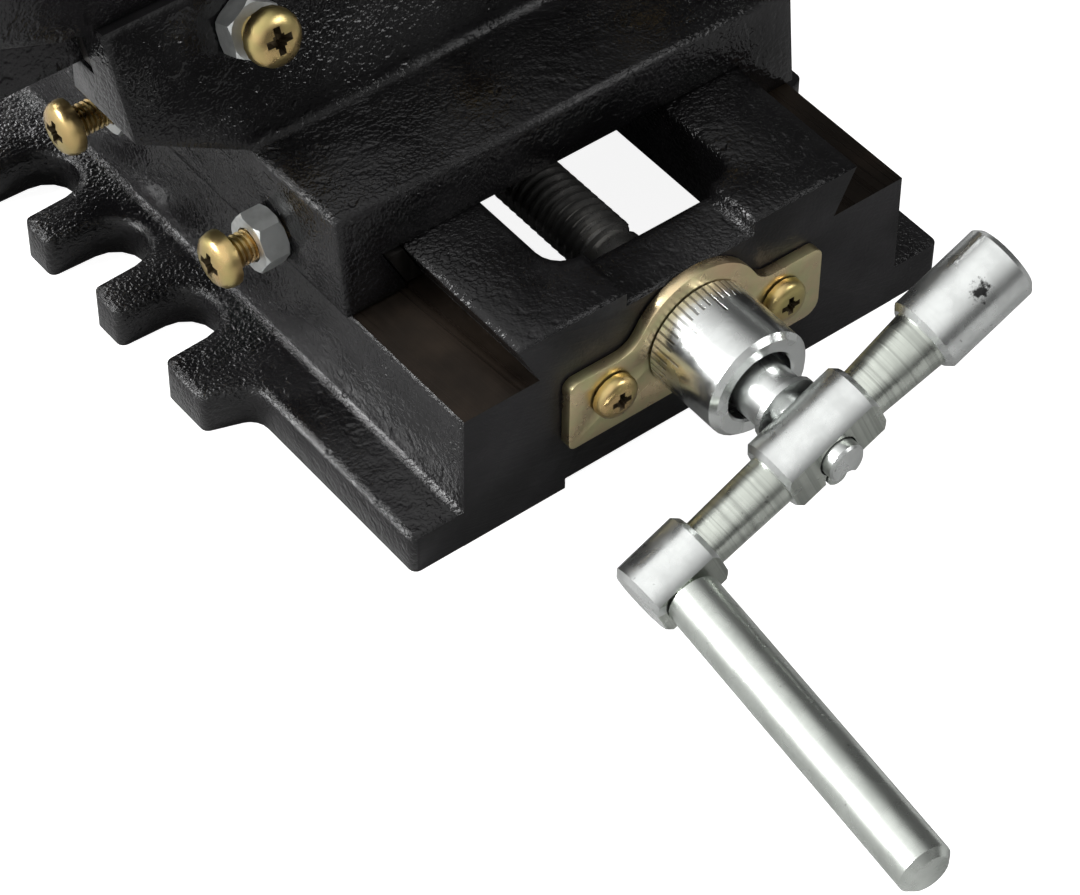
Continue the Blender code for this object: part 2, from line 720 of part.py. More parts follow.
def feed_dial(prefix, group):
    """Graduated ring on the shaft, with a wide mouth and a narrow seat."""
    start = PLATE_THICKNESS + 2 * GAP
    outer = DIAL_DIAMETER / 2
    seat = SHAFT_DIAMETER / 2 + GAP
    mouth = DIAL_MOUTH_DIAMETER / 2
    top = start + DIAL_LENGTH
    profile = [
        (mouth + 0.4 * MM, top),
        (outer - DIAL_CHAMFER, top),
        (outer, top - DIAL_CHAMFER),
        (outer, start),
        (seat, start),
        (seat, start + DIAL_SEAT_LENGTH),
        (mouth, start + DIAL_SEAT_LENGTH),
        (mouth, top - 0.4 * MM),
    ]
    dial = turned(profile, FINE, ring=True)
    return finish(dial, f"{prefix}_dial", BRIGHT_ZINC, group, (0, 0, 0), OUTWARD)


def crank_set(prefix, group):
    """Turned crank bar with hub, handle boss and balance knob, its handle and its key."""
    half_hub = HUB_LENGTH / 2
    chamfer = CRANK_CHAMFER
    knob_near = KNOB_REACH - KNOB_LENGTH / 2
    knob_far = KNOB_REACH + KNOB_LENGTH / 2
    boss_near = -BOSS_REACH + BOSS_LENGTH / 2
    boss_far = -BOSS_REACH - BOSS_LENGTH / 2
    profile = [
        (0, knob_far),
        (KNOB_RADIUS - chamfer, knob_far),
        (KNOB_RADIUS, knob_far - chamfer),
        (KNOB_RADIUS, knob_near + chamfer),
        (KNOB_RADIUS - chamfer, knob_near),
        (NECK_KNOB_RADIUS, knob_near),
        (NECK_HUB_RADIUS, half_hub),
        (HUB_RADIUS - chamfer, half_hub),
        (HUB_RADIUS, half_hub - chamfer),
        (HUB_RADIUS, -half_hub + chamfer),
        (HUB_RADIUS - chamfer, -half_hub),
        (NECK_HUB_RADIUS, -half_hub),
        (NECK_BOSS_RADIUS, boss_near),
        (HUB_RADIUS - chamfer, boss_near),
        (HUB_RADIUS, boss_near - chamfer),
        (HUB_RADIUS, boss_far + chamfer),
        (HUB_RADIUS - chamfer, boss_far),
        (0, boss_far),
    ]
    bar = turned(profile)
    tilt = math.radians(90) - CRANK_TURN
    finish(bar, f"{prefix}_crank", BRIGHT_ZINC, group, (0, -CRANK_OFFSET, 0), (0, tilt, 0))
    front = -(CRANK_OFFSET + HUB_RADIUS - HUB_FLAT)
    far = front - HUB_RADIUS
    reach = half_hub + MM
    flat = box((-BOSS_REACH - BOSS_LENGTH, far, -2 * HUB_RADIUS), (reach, front, 2 * HUB_RADIUS))
    cut(bar, as_cutter(flat, group, (0, 0, 0), (0, -CRANK_TURN, 0)))
    bore = rod(SPIGOT_DIAMETER / 2 + GAP, 0, CRANK_OFFSET * 2)
    cut(bar, as_cutter(bore, group, (0, 0, 0), OUTWARD))
    cut(bar, key_cutter(group))

    boss = Vector((-math.cos(CRANK_TURN), 0, -math.sin(CRANK_TURN))) * BOSS_REACH
    boss.y = -CRANK_OFFSET
    lean = (math.radians(90), HANDLE_LEAN, 0)
    spin = Matrix.Rotation(-CRANK_TURN, 3, "Y")
    direction = Vector((-math.sin(HANDLE_LEAN), -math.cos(HANDLE_LEAN), 0))
    aim = (spin @ direction).to_track_quat("Z", "Y").to_euler()
    tenon_hole = rod(HANDLE_TENON_RADIUS + GAP, -2 * HUB_RADIUS, 2 * HUB_RADIUS)
    cut(bar, as_cutter(tenon_hole, group, boss, aim))
    shoulder = HUB_RADIUS - HUB_FLAT + GAP + HANDLE_RADIUS * math.sin(HANDLE_LEAN)
    tenon_end = -HUB_RADIUS + MM
    handle = turned(
        [
            (0, HANDLE_REACH),
            (HANDLE_RADIUS - HANDLE_CHAMFER, HANDLE_REACH),
            (HANDLE_RADIUS, HANDLE_REACH - HANDLE_CHAMFER),
            (HANDLE_RADIUS, shoulder),
            (HANDLE_TENON_RADIUS, shoulder),
            (HANDLE_TENON_RADIUS, tenon_end),
            (0, tenon_end),
        ]
    )
    finish(handle, f"{prefix}_handle", BRIGHT_ZINC, group, boss, aim)
    key = turned(chamfered_cylinder(KEY_RADIUS, -KEY_LENGTH, 0, 0.3 * MM), COARSE)
    place = (0, front - KEY_PROUD, -KEY_DROP)
    finish(key, f"{prefix}_crank_key", BRIGHT_ZINC, group, place, OUTWARD)


def make_saddle(group):
    """Saddle casting: dovetail slide below, dovetail way for the bed on top."""
    bottom = SADDLE_BOTTOM
    back = SADDLE_BACK
    block = along_x(
        [
            (SADDLE_FRONT, bottom),
            (back, bottom),
            (back, RIDGE_Z),
            (RIDGE_Y, RIDGE_Z),
            (SADDLE_FRONT + SADDLE_DRAFT, SHELF_HEIGHT),
        ],
        -SADDLE_HALF_WIDTH,
        SADDLE_HALF_WIDTH,
    )
    finish(block, "saddle", BLACK_PAINT, group)
    join(block, as_cutter(cross_way(group), group))

    over = SADDLE_ROOF - WAY_HEIGHT
    right_low = BASE_NECK_HALF_WIDTH + GAP * FLANK_SLANT
    left_low = GIB_SLOT_FOOT
    slide = along_y(
        [
            (-left_low + MM * FLANK_RUN, WAY_HEIGHT - MM),
            (right_low - MM * FLANK_RUN, WAY_HEIGHT - MM),
            (right_low + over * FLANK_RUN, SADDLE_ROOF),
            (-left_low - over * FLANK_RUN, SADDLE_ROOF),
        ],
        SADDLE_FRONT - MM,
        back + MM,
    )
    cut(block, as_cutter(slide, group))
    for places, depth in (
        (gib_screw_places(), GIB_SCREW_REACH + 3 * MM),
        (cross_gib_screw_places(), CROSS_GIB_SCREW_REACH + 1.5 * MM),
    ):
        for place, rotation in places:
            hole = rod(M6_RADIUS + GAP, -depth, 2 * MM, COARSE)
            cut(block, as_cutter(hole, group, place, rotation))
    for tool in nut_seat(group, (0, Y_NUT_PLACE, SADDLE_ROOF), (0, 0, 0)):
        cut(block, tool)
    for tool in nut_seat(group, (0, BED_MIDDLE, CROSS_FLOOR), UPSIDE_DOWN):
        cut(block, tool)
    return block


def cross_way(group):
    """Upper body of the saddle: two leaning walls with a dovetail way, and its four horns."""
    root = RIDGE_Z - 8 * MM
    inset = SADDLE_DRAFT
    body = along_x(
        [
            (RIDGE_Y, root),
            (SADDLE_BACK - inset, root),
            (SADDLE_BACK - inset, RIDGE_Z),
            (SADDLE_BACK - WALL_RUN, CROSS_TOP),
            (MOUTH_BACK, CROSS_TOP),
            (MOUTH_BACK + FLANK_DEPTH, CROSS_FLOOR),
            (MOUTH_FRONT - FLANK_DEPTH, CROSS_FLOOR),
            (MOUTH_FRONT, CROSS_TOP),
            (RIDGE_Y + WALL_RUN, CROSS_TOP),
            (RIDGE_Y, RIDGE_Z),
        ],
        -HORN_REACH,
        HORN_REACH,
    )
    rise = (HORN_END_HEIGHT - RIDGE_Z) / (HORN_REACH - SADDLE_HALF_WIDTH)
    start = SADDLE_HALF_WIDTH - MM
    end = HORN_REACH + MM
    for side in (-1, 1):
        wedge = [
            (side * start, root - MM),
            (side * end, root - MM),
            (side * end, RIDGE_Z + (end - SADDLE_HALF_WIDTH) * rise),
            (side * start, RIDGE_Z - MM * rise),
        ]
        tool = along_y(wedge, SADDLE_FRONT, SADDLE_BACK + MM)
        cut(body, as_cutter(tool, group))
        inner = sorted((side * (SADDLE_HALF_WIDTH - 2 * MM), side * end))
        opening = box(
            (inner[0], MOUTH_FRONT - FLANK_DEPTH + HORN_LEDGE, root - MM),
            (inner[1], MOUTH_BACK + FLANK_DEPTH - HORN_LEDGE, CROSS_TOP + MM),
        )
        cut(body, as_cutter(opening, group))
    return body


def nut_seat(group, place, rotation):
    """Cutters for a screw nut's spigot and for the cap screw that draws it in from the far side."""
    reach = CROSS_FLOOR - SADDLE_ROOF
    spigot = rod(NUT_SPIGOT_RADIUS + GAP, -MM, NUT_SPIGOT_LENGTH + GAP)
    shank = rod(M6_RADIUS + GAP, 0, reach + MM, COARSE)
    head = rod(CAP_HEAD_RADIUS + GAP, reach - CAP_HEAD_HEIGHT - MM, reach + MM)
    return [as_cutter(tool, group, place, rotation) for tool in (spigot, shank, head)]


def gib_screw_places():
    """Seat places and turns of the screws in the saddle's left side."""
    start = SADDLE_MIDDLE - (GIB_SCREW_COUNT - 1) / 2 * GIB_SCREW_SPREAD
    return [
        ((-SADDLE_HALF_WIDTH, start + index * GIB_SCREW_SPREAD, GIB_SCREW_HEIGHT), TO_MINUS_X)
        for index in range(GIB_SCREW_COUNT)
    ]


def cross_gib_screw_places():
    """Seat places and turns of the screws in the saddle's leaning front wall."""
    height = CROSS_TOP - CROSS_GIB_SCREW_DROP
    depth = RIDGE_Y + (height - RIDGE_Z) / math.tan(CROSS_WALL_ANGLE)
    turn = (math.radians(90) - CROSS_GIB_SCREW_TILT, 0, 0)
    middle = (GIB_SCREW_COUNT - 1) / 2
    return [
        (((index - middle) * CROSS_GIB_SCREW_SPREAD, depth, height), turn)
        for index in range(GIB_SCREW_COUNT)
    ]


def gib_set(prefix, group, places, reach, seats):
    """Adjusting screws of a gib strip, each with its lock nut. A seat is a head's height."""
    for index, ((place, rotation), seat) in enumerate(zip(places, seats), 1):
        profile = pan_head_profile(PAN_HEAD_RADIUS, PAN_HEAD_HEIGHT, M6_RADIUS, seat + reach)
        screw = turned(profile, COARSE)
        outward = Euler(rotation).to_matrix() @ Vector((0, 0, 1))
        spot = Vector(place) + outward * seat
        finish(screw, f"{prefix}_screw_{index}", YELLOW_ZINC, group, spot, rotation)
        nut, crown, hole = hex_nut(LOCKNUT_RADIUS, LOCKNUT_THICKNESS, M6_RADIUS + GAP)
        spot = Vector(place) + outward * GAP
        finish(nut, f"{prefix}_locknut_{index}", BRIGHT_ZINC, group, spot, rotation)
        combine(nut, as_cutter(crown, group, spot, rotation), "INTERSECT")
        cut(nut, as_cutter(hole, group, spot, rotation))


def make_gibs(group):
    """The flat steel strips that take up the play of both dovetails."""
    low = WAY_HEIGHT + GIB_END_MARGIN + GAP
    high = BASE_TOP - GIB_END_MARGIN
    inner = BASE_NECK_HALF_WIDTH + GAP * FLANK_SLANT
    outer = inner + GIB_THICKNESS * FLANK_SLANT
    points = [
        (-inner - (low - WAY_HEIGHT) * FLANK_RUN, low),
        (-inner - (high - WAY_HEIGHT) * FLANK_RUN, high),
        (-outer - (high - WAY_HEIGHT) * FLANK_RUN, high),
        (-outer - (low - WAY_HEIGHT) * FLANK_RUN, low),
    ]
    strip = along_y(points, SADDLE_FRONT + GIB_END_MARGIN, SADDLE_BACK - GIB_END_MARGIN)
    finish(strip, "y_gib", GIB_STEEL, group)
    low = CROSS_FLOOR + GIB_END_MARGIN
    high = CROSS_TOP - GIB_END_MARGIN
    outer = MOUTH_FRONT + GAP * FLANK_SLANT
    inner = outer + GIB_THICKNESS * FLANK_SLANT
    points = [
        (outer - (CROSS_TOP - low) * FLANK_RUN, low),
        (inner - (CROSS_TOP - low) * FLANK_RUN, low),
        (inner - (CROSS_TOP - high) * FLANK_RUN, high),
        (outer - (CROSS_TOP - high) * FLANK_RUN, high),
    ]
    strip = along_x(points, -HORN_REACH + GIB_END_MARGIN, HORN_REACH - GIB_END_MARGIN)
    finish(strip, "x_gib", GIB_STEEL, group)


def make_nut(name, group, place, rotation, bore_turn, height):
    """Screw nut: a block with a bore for the screw and a spigot that seats in the saddle."""
    half = NUT_WIDTH / 2
    bottom = -height - NUT_BELOW_SCREW
    nut = box((-half, -half, bottom), (half, half, -GAP))
    finish(nut, f"{name}_nut", CAST_NUT, group, place, rotation)
    spigot = rod(NUT_SPIGOT_RADIUS, -MM, NUT_SPIGOT_LENGTH)
    join(nut, as_cutter(spigot, group, place, rotation))
    entry = NUT_SPIGOT_LENGTH - NUT_SCREW_ENTRY
    tap = rod(M6_RADIUS + GAP, entry, NUT_SPIGOT_LENGTH + MM, COARSE)
    cut(nut, as_cutter(tap, group, place, rotation))
    flip = -1 if rotation == UPSIDE_DOWN else 1
    axis_place = (place[0], place[1], place[2] - flip * height)
    thread = rod(SCREW_DIAMETER / 2 + GAP, -NUT_WIDTH, NUT_WIDTH)
    cut(nut, as_cutter(thread, group, axis_place, bore_turn))
    reach = CROSS_FLOOR - SADDLE_ROOF
    seat = reach - CAP_HEAD_HEIGHT - MM + GAP
    length = seat - entry - GAP
    screw = turned(
        [
            (0, seat + CAP_HEAD_HEIGHT),
            (CAP_HEAD_RADIUS - 0.5 * MM, seat + CAP_HEAD_HEIGHT),
            (CAP_HEAD_RADIUS, seat + CAP_HEAD_HEIGHT - 0.5 * MM),
            (CAP_HEAD_RADIUS, seat),
            (M6_RADIUS, seat),
            (M6_RADIUS, seat - length),
            (0, seat - length),
        ],
        COARSE,
    )
    finish(screw, f"{name}_nut_screw", BLACK_STEEL, group, place, rotation)


def make_bed(group):
    """Vise bed casting: inverted dovetail, screw channel, fixed jaw and jaw screw block."""
    half = BED_WIDTH / 2
    front = BED_MIDDLE - half
    back = BED_MIDDLE + half
    run = (BED_WAY - BED_BOTTOM) * FLANK_RUN
    bed = box((BED_LEFT, front, BED_WAY), (BED_RIGHT, back, BED_TOP))
    finish(bed, "vise_bed", BLACK_PAINT, group)
    shape_bed_end(bed, group)
    over = MM * FLANK_RUN
    dovetail = along_x(
        [
            (BED_NECK_FRONT - run, BED_BOTTOM),
            (BED_NECK_BACK + run, BED_BOTTOM),
            (BED_NECK_BACK - over, BED_WAY + MM),
            (BED_NECK_FRONT + over, BED_WAY + MM),
        ],
        BED_LEFT,
        BED_RIGHT,
    )
    join(bed, as_cutter(dovetail, group))
    jaw_left = BED_LEFT + FIXED_JAW_SETBACK
    jaw_top = BED_TOP + JAW_HEIGHT
    sink = BED_TOP - 2 * MM
    fixed = box((jaw_left, front, sink), (FIXED_JAW_FACE, back, jaw_top))
    join(bed, as_cutter(soften(fixed, 1.2 * MM), group))
    for side in (-1, 1):
        y = BED_MIDDLE + side * GUSSET_SPREAD
        gusset = along_y(
            [
                (BED_LEFT + 3 * MM, sink),
                (jaw_left + 2 * MM, sink),
                (jaw_left + 2 * MM, jaw_top - 6 * MM),
                (BED_LEFT + 3 * MM, BED_TOP + 2 * MM),
            ],
            y - GUSSET_THICKNESS / 2,
            y + GUSSET_THICKNESS / 2,
        )
        join(bed, as_cutter(gusset, group))
    block_half = SCREW_BLOCK_WIDTH / 2
    block_top = BED_TOP + SCREW_BLOCK_HEIGHT
    corners = [
        (BED_MIDDLE - block_half, sink, 0),
        (BED_MIDDLE + block_half, sink, 0),
        (BED_MIDDLE + block_half, block_top, 9 * MM),
        (BED_MIDDLE - block_half, block_top, 9 * MM),
    ]
    block = along_x(rounded(corners), SCREW_BLOCK_LEFT, BED_RIGHT - 0.5 * MM)
    join(bed, as_cutter(block, group))
    channel_half = BED_CHANNEL_WIDTH / 2
    channel = box(
        (BED_LEFT + END_WALL, BED_MIDDLE - channel_half, BED_BOTTOM - MM),
        (BED_RIGHT - END_WALL, BED_MIDDLE + channel_half, BED_CHANNEL_TOP),
    )
    cut(bed, as_cutter(channel, group))
    slot_half = JAW_SLOT_WIDTH / 2
    corners = [
        (FIXED_JAW_FACE + JAW_SLOT_END, BED_MIDDLE - slot_half, 3 * MM),
        (SCREW_BLOCK_LEFT - JAW_SLOT_END, BED_MIDDLE - slot_half, 3 * MM),
        (SCREW_BLOCK_LEFT - JAW_SLOT_END, BED_MIDDLE + slot_half, 3 * MM),
        (FIXED_JAW_FACE + JAW_SLOT_END, BED_MIDDLE + slot_half, 3 * MM),
    ]
    slot = along_z(rounded(corners), BED_CHANNEL_TOP - MM, BED_TOP + MM)
    cut(bed, as_cutter(slot, group))
    turn = (math.radians(90), 0, math.radians(-90))
    place = (BED_LEFT, BED_MIDDLE, X_SCREW_HEIGHT)
    for tool in collar_seat(group, place, turn):
        cut(bed, tool)
    for side in (-1, 1):
        spot = (BED_LEFT, BED_MIDDLE + side * PLATE_SCREW_SPREAD, X_SCREW_HEIGHT - PLATE_SCREW_DROP)
        hole = rod(M4_RADIUS + GAP, -PLATE_SCREW_LENGTH - MM, MM, COARSE)
        cut(bed, as_cutter(hole, group, spot, turn))
    thread = rod(JAW_SCREW_DIAMETER / 2 + GAP, SCREW_BLOCK_LEFT - MM, BED_RIGHT + MM)
    cut(bed, as_cutter(thread, group, (0, BED_MIDDLE, JAW_SCREW_Z), TO_PLUS_X))
    for tool in jaw_plate_holes(group, FIXED_JAW_FACE, TO_PLUS_X):
        cut(bed, tool)
    return bed


def shape_bed_end(bed, group):
    """Left end of the bed: slightly proud sides whose lower edges rise towards the end."""
    end = BED_LEFT + BED_END_LENGTH
    half = BED_WIDTH / 2 + BED_END_PROUD
    low = (BED_LEFT + MM, BED_MIDDLE - half, BED_WAY + MM)
    proud = box(low, (end, BED_MIDDLE + half, BED_TOP - 3 * MM))
    join(bed, as_cutter(soften(proud, 0.8 * MM, 1), group))
    wedge = [
        (BED_LEFT - MM, BED_WAY - GAP),
        (end, BED_WAY - GAP),
        (BED_LEFT - MM, BED_WAY + BED_END_RISE),
    ]
    for low, high in (
        (BED_MIDDLE - half - MM, BED_NECK_FRONT - MM / 2),
        (BED_NECK_BACK + MM / 2, BED_MIDDLE + half + MM),
    ):
        cut(bed, as_cutter(along_y(wedge, low, high), group))


def jaw_plate_holes(group, face, rotation):
    """Cutters for the two tapped holes behind a jaw plate."""
    tools = []
    for side in (-1, 1):
        hole = rod(M5_RADIUS + GAP, -FLAT_SCREW_LENGTH, MM, COARSE)
        spot = (face, BED_MIDDLE + side * JAW_PLATE_SCREW_SPREAD, jaw_plate_middle())
        tools.append(as_cutter(hole, group, spot, rotation))
    return tools


def jaw_plate_middle():
    """Height of the middle of both jaw plates."""
    return BED_TOP + JAW_HEIGHT - JAW_PLATE_EDGE - JAW_PLATE_HEIGHT / 2


def flat_screw(name, group, place, rotation, color):
    """Countersunk screw with its flat head's face at the local height 0."""
    sink = FLAT_HEAD_RADIUS - M5_RADIUS
    screw = turned(
        [
            (0, 0),
            (FLAT_HEAD_RADIUS, 0),
            (M5_RADIUS, -sink),
            (M5_RADIUS, -FLAT_SCREW_LENGTH),
            (0, -FLAT_SCREW_LENGTH),
        ],
        COARSE,
    )
    return finish(screw, name, color, group, place, rotation)


def countersink(group, place, rotation, depth):
    """Cutter for a countersunk hole with clearance all round."""
    top = FLAT_HEAD_RADIUS + GAP * 2.4
    low = M5_RADIUS + GAP
    profile = [(0, MM), (top, MM), (top, 0), (low, low - top), (low, -depth), (0, -depth)]
    return as_cutter(turned(profile, COARSE), group, place, rotation)


def jaw_plate(name, group, casting_face, side):
    """Hardened jaw plate with its two countersunk screws. Side is 1 where it faces right."""
    near = casting_face + side * GAP
    far = near + side * JAW_PLATE_THICKNESS
    half = BED_WIDTH / 2 - JAW_PLATE_EDGE
    middle = jaw_plate_middle()
    tall = JAW_PLATE_HEIGHT / 2
    low = (min(near, far), BED_MIDDLE - half, middle - tall)
    high = (max(near, far), BED_MIDDLE + half, middle + tall)
    plate = soften(box(low, high), 0.6 * MM, 1)
    finish(plate, name, GROUND_STEEL, group)
    rotation = TO_PLUS_X if side == 1 else TO_MINUS_X
    for hand, word in ((-1, "front"), (1, "back")):
        place = (far, BED_MIDDLE + hand * JAW_PLATE_SCREW_SPREAD, middle)
        cut(plate, countersink(group, place, rotation, JAW_PLATE_THICKNESS + MM))
        sunk = (far - side * GAP, place[1], place[2])
        flat_screw(f"{name}_screw_{word}", group, sunk, rotation, BLACK_STEEL)


def make_moving_jaw(group):
    """Moving jaw casting with a tongue in the bed's slot."""
    half = BED_WIDTH / 2
    back_half = JAW_BACK_WIDTH / 2
    wing = MOVING_FACE + JAW_WING_THICKNESS
    edge = 2 * MM
    corners = [
        (MOVING_FACE, BED_MIDDLE - half, 0.8 * MM),
        (wing, BED_MIDDLE - half, edge),
        (MOVING_BACK, BED_MIDDLE - back_half, edge),
        (MOVING_BACK, BED_MIDDLE + back_half, edge),
        (wing, BED_MIDDLE + half, edge),
        (MOVING_FACE, BED_MIDDLE + half, 0.8 * MM),
    ]
    jaw = along_z(rounded(corners, 3), BED_TOP + GAP, BED_TOP + JAW_HEIGHT)
    finish(jaw, "moving_jaw", BLACK_PAINT, group)
    tongue_half = JAW_SLOT_WIDTH / 2 - GAP
    tongue = box(
        (MOVING_FACE + 2 * MM, BED_MIDDLE - tongue_half, BED_CHANNEL_TOP + GAP / 2),
        (MOVING_BACK - 2 * MM, BED_MIDDLE + tongue_half, BED_TOP + 2 * MM),
    )
    join(jaw, as_cutter(tongue, group))
    for tool in jaw_plate_holes(group, MOVING_FACE, TO_MINUS_X):
        cut(jaw, tool)
    turn = (math.radians(90), 0, math.radians(90))
    place = (MOVING_BACK, BED_MIDDLE, JAW_SCREW_Z)
    for tool in counterbore_cutters(
        group,
        place,
        turn,
        JAW_SCREW_NOSE_DIAMETER / 2 + GAP,
        COLLAR_DIAMETER / 2 + GAP,
        COLLAR_THICKNESS + 2 * GAP,
        COLLAR_THICKNESS + JAW_SCREW_NOSE_LENGTH + 3 * GAP,
    ):
        cut(jaw, tool)
    for side in (-1, 1):
        hole = rod(M4_RADIUS + GAP, -PLATE_SCREW_LENGTH - MM, MM, COARSE)
        spot = (
            MOVING_BACK,
            BED_MIDDLE + side * PLATE_SCREW_SPREAD,
            JAW_SCREW_Z - PLATE_SCREW_DROP,
        )
        cut(jaw, as_cutter(hole, group, spot, turn))
    middle = (MOVING_FACE + MOVING_BACK) / 2
    keeper_top = BED_CHANNEL_TOP - GAP
    keeper_bottom = keeper_top - KEEPER_THICKNESS
    length = KEEPER_LENGTH / 2
    width = KEEPER_WIDTH / 2
    keeper = box(
        (middle - length, BED_MIDDLE - width, keeper_bottom),
        (middle + length, BED_MIDDLE + width, keeper_top),
    )
    finish(keeper, "jaw_keeper", GROUND_STEEL, group)
    for side, word in ((-1, "left"), (1, "right")):
        spot = (middle + side * KEEPER_SCREW_SPREAD, BED_MIDDLE, keeper_bottom)
        cut(keeper, countersink(group, spot, UPSIDE_DOWN, KEEPER_THICKNESS + MM))
        tap = rod(M5_RADIUS + GAP, -FLAT_SCREW_LENGTH - MM, 0, COARSE)
        cut(jaw, as_cutter(tap, group, spot, UPSIDE_DOWN))
        sunk = (spot[0], spot[1], spot[2] + GAP)
        flat_screw(f"keeper_screw_{word}", group, sunk, UPSIDE_DOWN, BLACK_STEEL)
    return jaw


def make_jaw_screw(group, crank_group):
    """Jaw screw: nose and collar in the moving jaw, thread, and the crank's shaft end."""
    collar = COLLAR_DIAMETER / 2
    nose = JAW_SCREW_NOSE_DIAMETER / 2
    thread = JAW_SCREW_DIAMETER / 2
    outer = [(radius, height + JAW_CRANK_SHIFT) for radius, height in shaft_end_profile(thread)]
    neck = SHAFT_DIAMETER / 2
    profile = outer + [
        (thread, PLATE_THICKNESS + 3 * MM),
        (neck, PLATE_THICKNESS + 2 * MM),
        (neck, -GAP),
        (collar, -GAP),
        (collar, -GAP - COLLAR_THICKNESS),
        (nose, -GAP - COLLAR_THICKNESS),
        (nose, -GAP - COLLAR_THICKNESS - JAW_SCREW_NOSE_LENGTH),
        (0, -GAP - COLLAR_THICKNESS - JAW_SCREW_NOSE_LENGTH),
    ]
    screw = finish(turned(profile), "jaw_screw", BLACK_STEEL, group, (0, 0, 0), OUTWARD)
    cut(screw, key_cutter(crank_group))
    return screw


def centre_footprint(root):
    """Shift the vise so that the origin is the bottom middle of its own box."""
    bpy.context.view_layer.update()
    graph = bpy.context.evaluated_depsgraph_get()
    spots = []
    for item in PARTS.objects:
        if item.type == "MESH":
            seen = item.evaluated_get(graph)
            spots += [seen.matrix_world @ vertex.co for vertex in seen.to_mesh().vertices]
            seen.to_mesh_clear()
    low = [min(spot[axis] for spot in spots) for axis in range(3)]
    high = [max(spot[axis] for spot in spots) for axis in range(3)]
    root.location = (-(low[0] + high[0]) / 2, -(low[1] + high[1]) / 2, -low[2])


def screw_station(prefix, parent, place, turn):
    """The fixed seat of a screw on a casting, with its retaining plate, and its turning axis."""
    seat = new_axis(f"{prefix}_seat", parent, place, turn)
    retaining_plate(f"{prefix}_retaining_plate", seat, SHAFT_DIAMETER / 2)
    plate_screws(prefix, seat)
    return new_axis(f"{prefix}_screw_axis", seat)


def build():
    """Make every piece of the vise on the empties that carry the joints."""
    root = new_axis("vise_origin")
    make_base(root)
    axis = screw_station("y", root, (0, 0, Y_SCREW_HEIGHT), 0)
    feed_screw("y", axis, BASE_LENGTH - END_WALL - SCREW_END_MARGIN)
    feed_dial("y", axis)
    crank_set("y", axis)

    saddle = new_axis("saddle_slide", root)
    make_saddle(saddle)
    make_gibs(saddle)
    gib_set("y_gib", saddle, gib_screw_places(), GIB_SCREW_REACH, GIB_SCREW_SEATS)
    places = cross_gib_screw_places()
    gib_set("x_gib", saddle, places, CROSS_GIB_SCREW_REACH, CROSS_GIB_SCREW_SEATS)
    place = (0, Y_NUT_PLACE, SADDLE_ROOF)
    make_nut("y", saddle, place, (0, 0, 0), OUTWARD, SADDLE_ROOF - Y_SCREW_HEIGHT)
    place = (0, BED_MIDDLE, CROSS_FLOOR)
    make_nut("x", saddle, place, UPSIDE_DOWN, TO_PLUS_X, X_SCREW_HEIGHT - CROSS_FLOOR)

    bed = new_axis("bed_slide", root)
    make_bed(bed)
    jaw_plate("fixed_jaw_plate", bed, FIXED_JAW_FACE, 1)
    place = (BED_LEFT, BED_MIDDLE, X_SCREW_HEIGHT)
    axis = screw_station("x", bed, place, math.radians(-90))
    feed_screw("x", axis, BED_LENGTH - END_WALL - SCREW_END_MARGIN)
    feed_dial("x", axis)
    crank_set("x", axis)

    jaw = new_axis("jaw_slide", bed)
    make_moving_jaw(jaw)
    jaw_plate("moving_jaw_plate", jaw, MOVING_FACE, -1)
    place = (MOVING_BACK, BED_MIDDLE, JAW_SCREW_Z)
    axis = screw_station("jaw", jaw, place, math.radians(90))
    crank = new_axis("jaw_crank_seat", axis, (0, -JAW_CRANK_SHIFT, 0))
    make_jaw_screw(axis, crank)
    crank_set("jaw", crank)
    centre_footprint(root)


build()
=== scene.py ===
"""Finishes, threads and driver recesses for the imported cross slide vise, and its studio."""

import json
import math

import bmesh
import bpy
from bpy.props import FloatProperty, FloatVectorProperty, IntProperty, PointerProperty
from mathutils import Matrix, Vector


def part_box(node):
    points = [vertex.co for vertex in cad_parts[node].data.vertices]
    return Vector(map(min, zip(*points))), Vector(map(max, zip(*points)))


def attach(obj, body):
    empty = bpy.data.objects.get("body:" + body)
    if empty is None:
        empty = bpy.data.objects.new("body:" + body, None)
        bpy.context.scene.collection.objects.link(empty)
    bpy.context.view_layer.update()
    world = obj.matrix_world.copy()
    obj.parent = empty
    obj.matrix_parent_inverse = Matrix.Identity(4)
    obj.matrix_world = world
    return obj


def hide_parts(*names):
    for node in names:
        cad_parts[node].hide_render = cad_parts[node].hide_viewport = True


bl_info = {
    "name": "Cross slide vise",
    "version": (1, 0, 0),
    "blender": (4, 5, 0),
    "location": "View3D > Sidebar > Slide vise",
    "description": "Dresses the packed cross slide vise and sets up its studio",
    "category": "Object",
}

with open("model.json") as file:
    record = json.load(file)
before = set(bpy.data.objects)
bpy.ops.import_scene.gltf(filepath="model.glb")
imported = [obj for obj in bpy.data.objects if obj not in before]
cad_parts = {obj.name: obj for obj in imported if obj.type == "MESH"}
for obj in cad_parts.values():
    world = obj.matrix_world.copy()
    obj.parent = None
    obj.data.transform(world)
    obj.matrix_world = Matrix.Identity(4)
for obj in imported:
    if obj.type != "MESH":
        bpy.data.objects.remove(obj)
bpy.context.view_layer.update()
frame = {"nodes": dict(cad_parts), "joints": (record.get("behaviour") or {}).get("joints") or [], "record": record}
NODES = frame["nodes"]
BODY_OF = {
    node: body
    for body, members in frame["record"]["behaviour"]["bodies"].items()
    for node in members
}
SLOT_OF = {part["node"]: part["material_slot"] for part in frame["record"]["subparts"]}
JOINTS = {joint["name"]: joint for joint in frame["joints"]}
MM = 0.001
SUFFIX = "_dressed"
MERGE_DISTANCE = 0.002 * MM
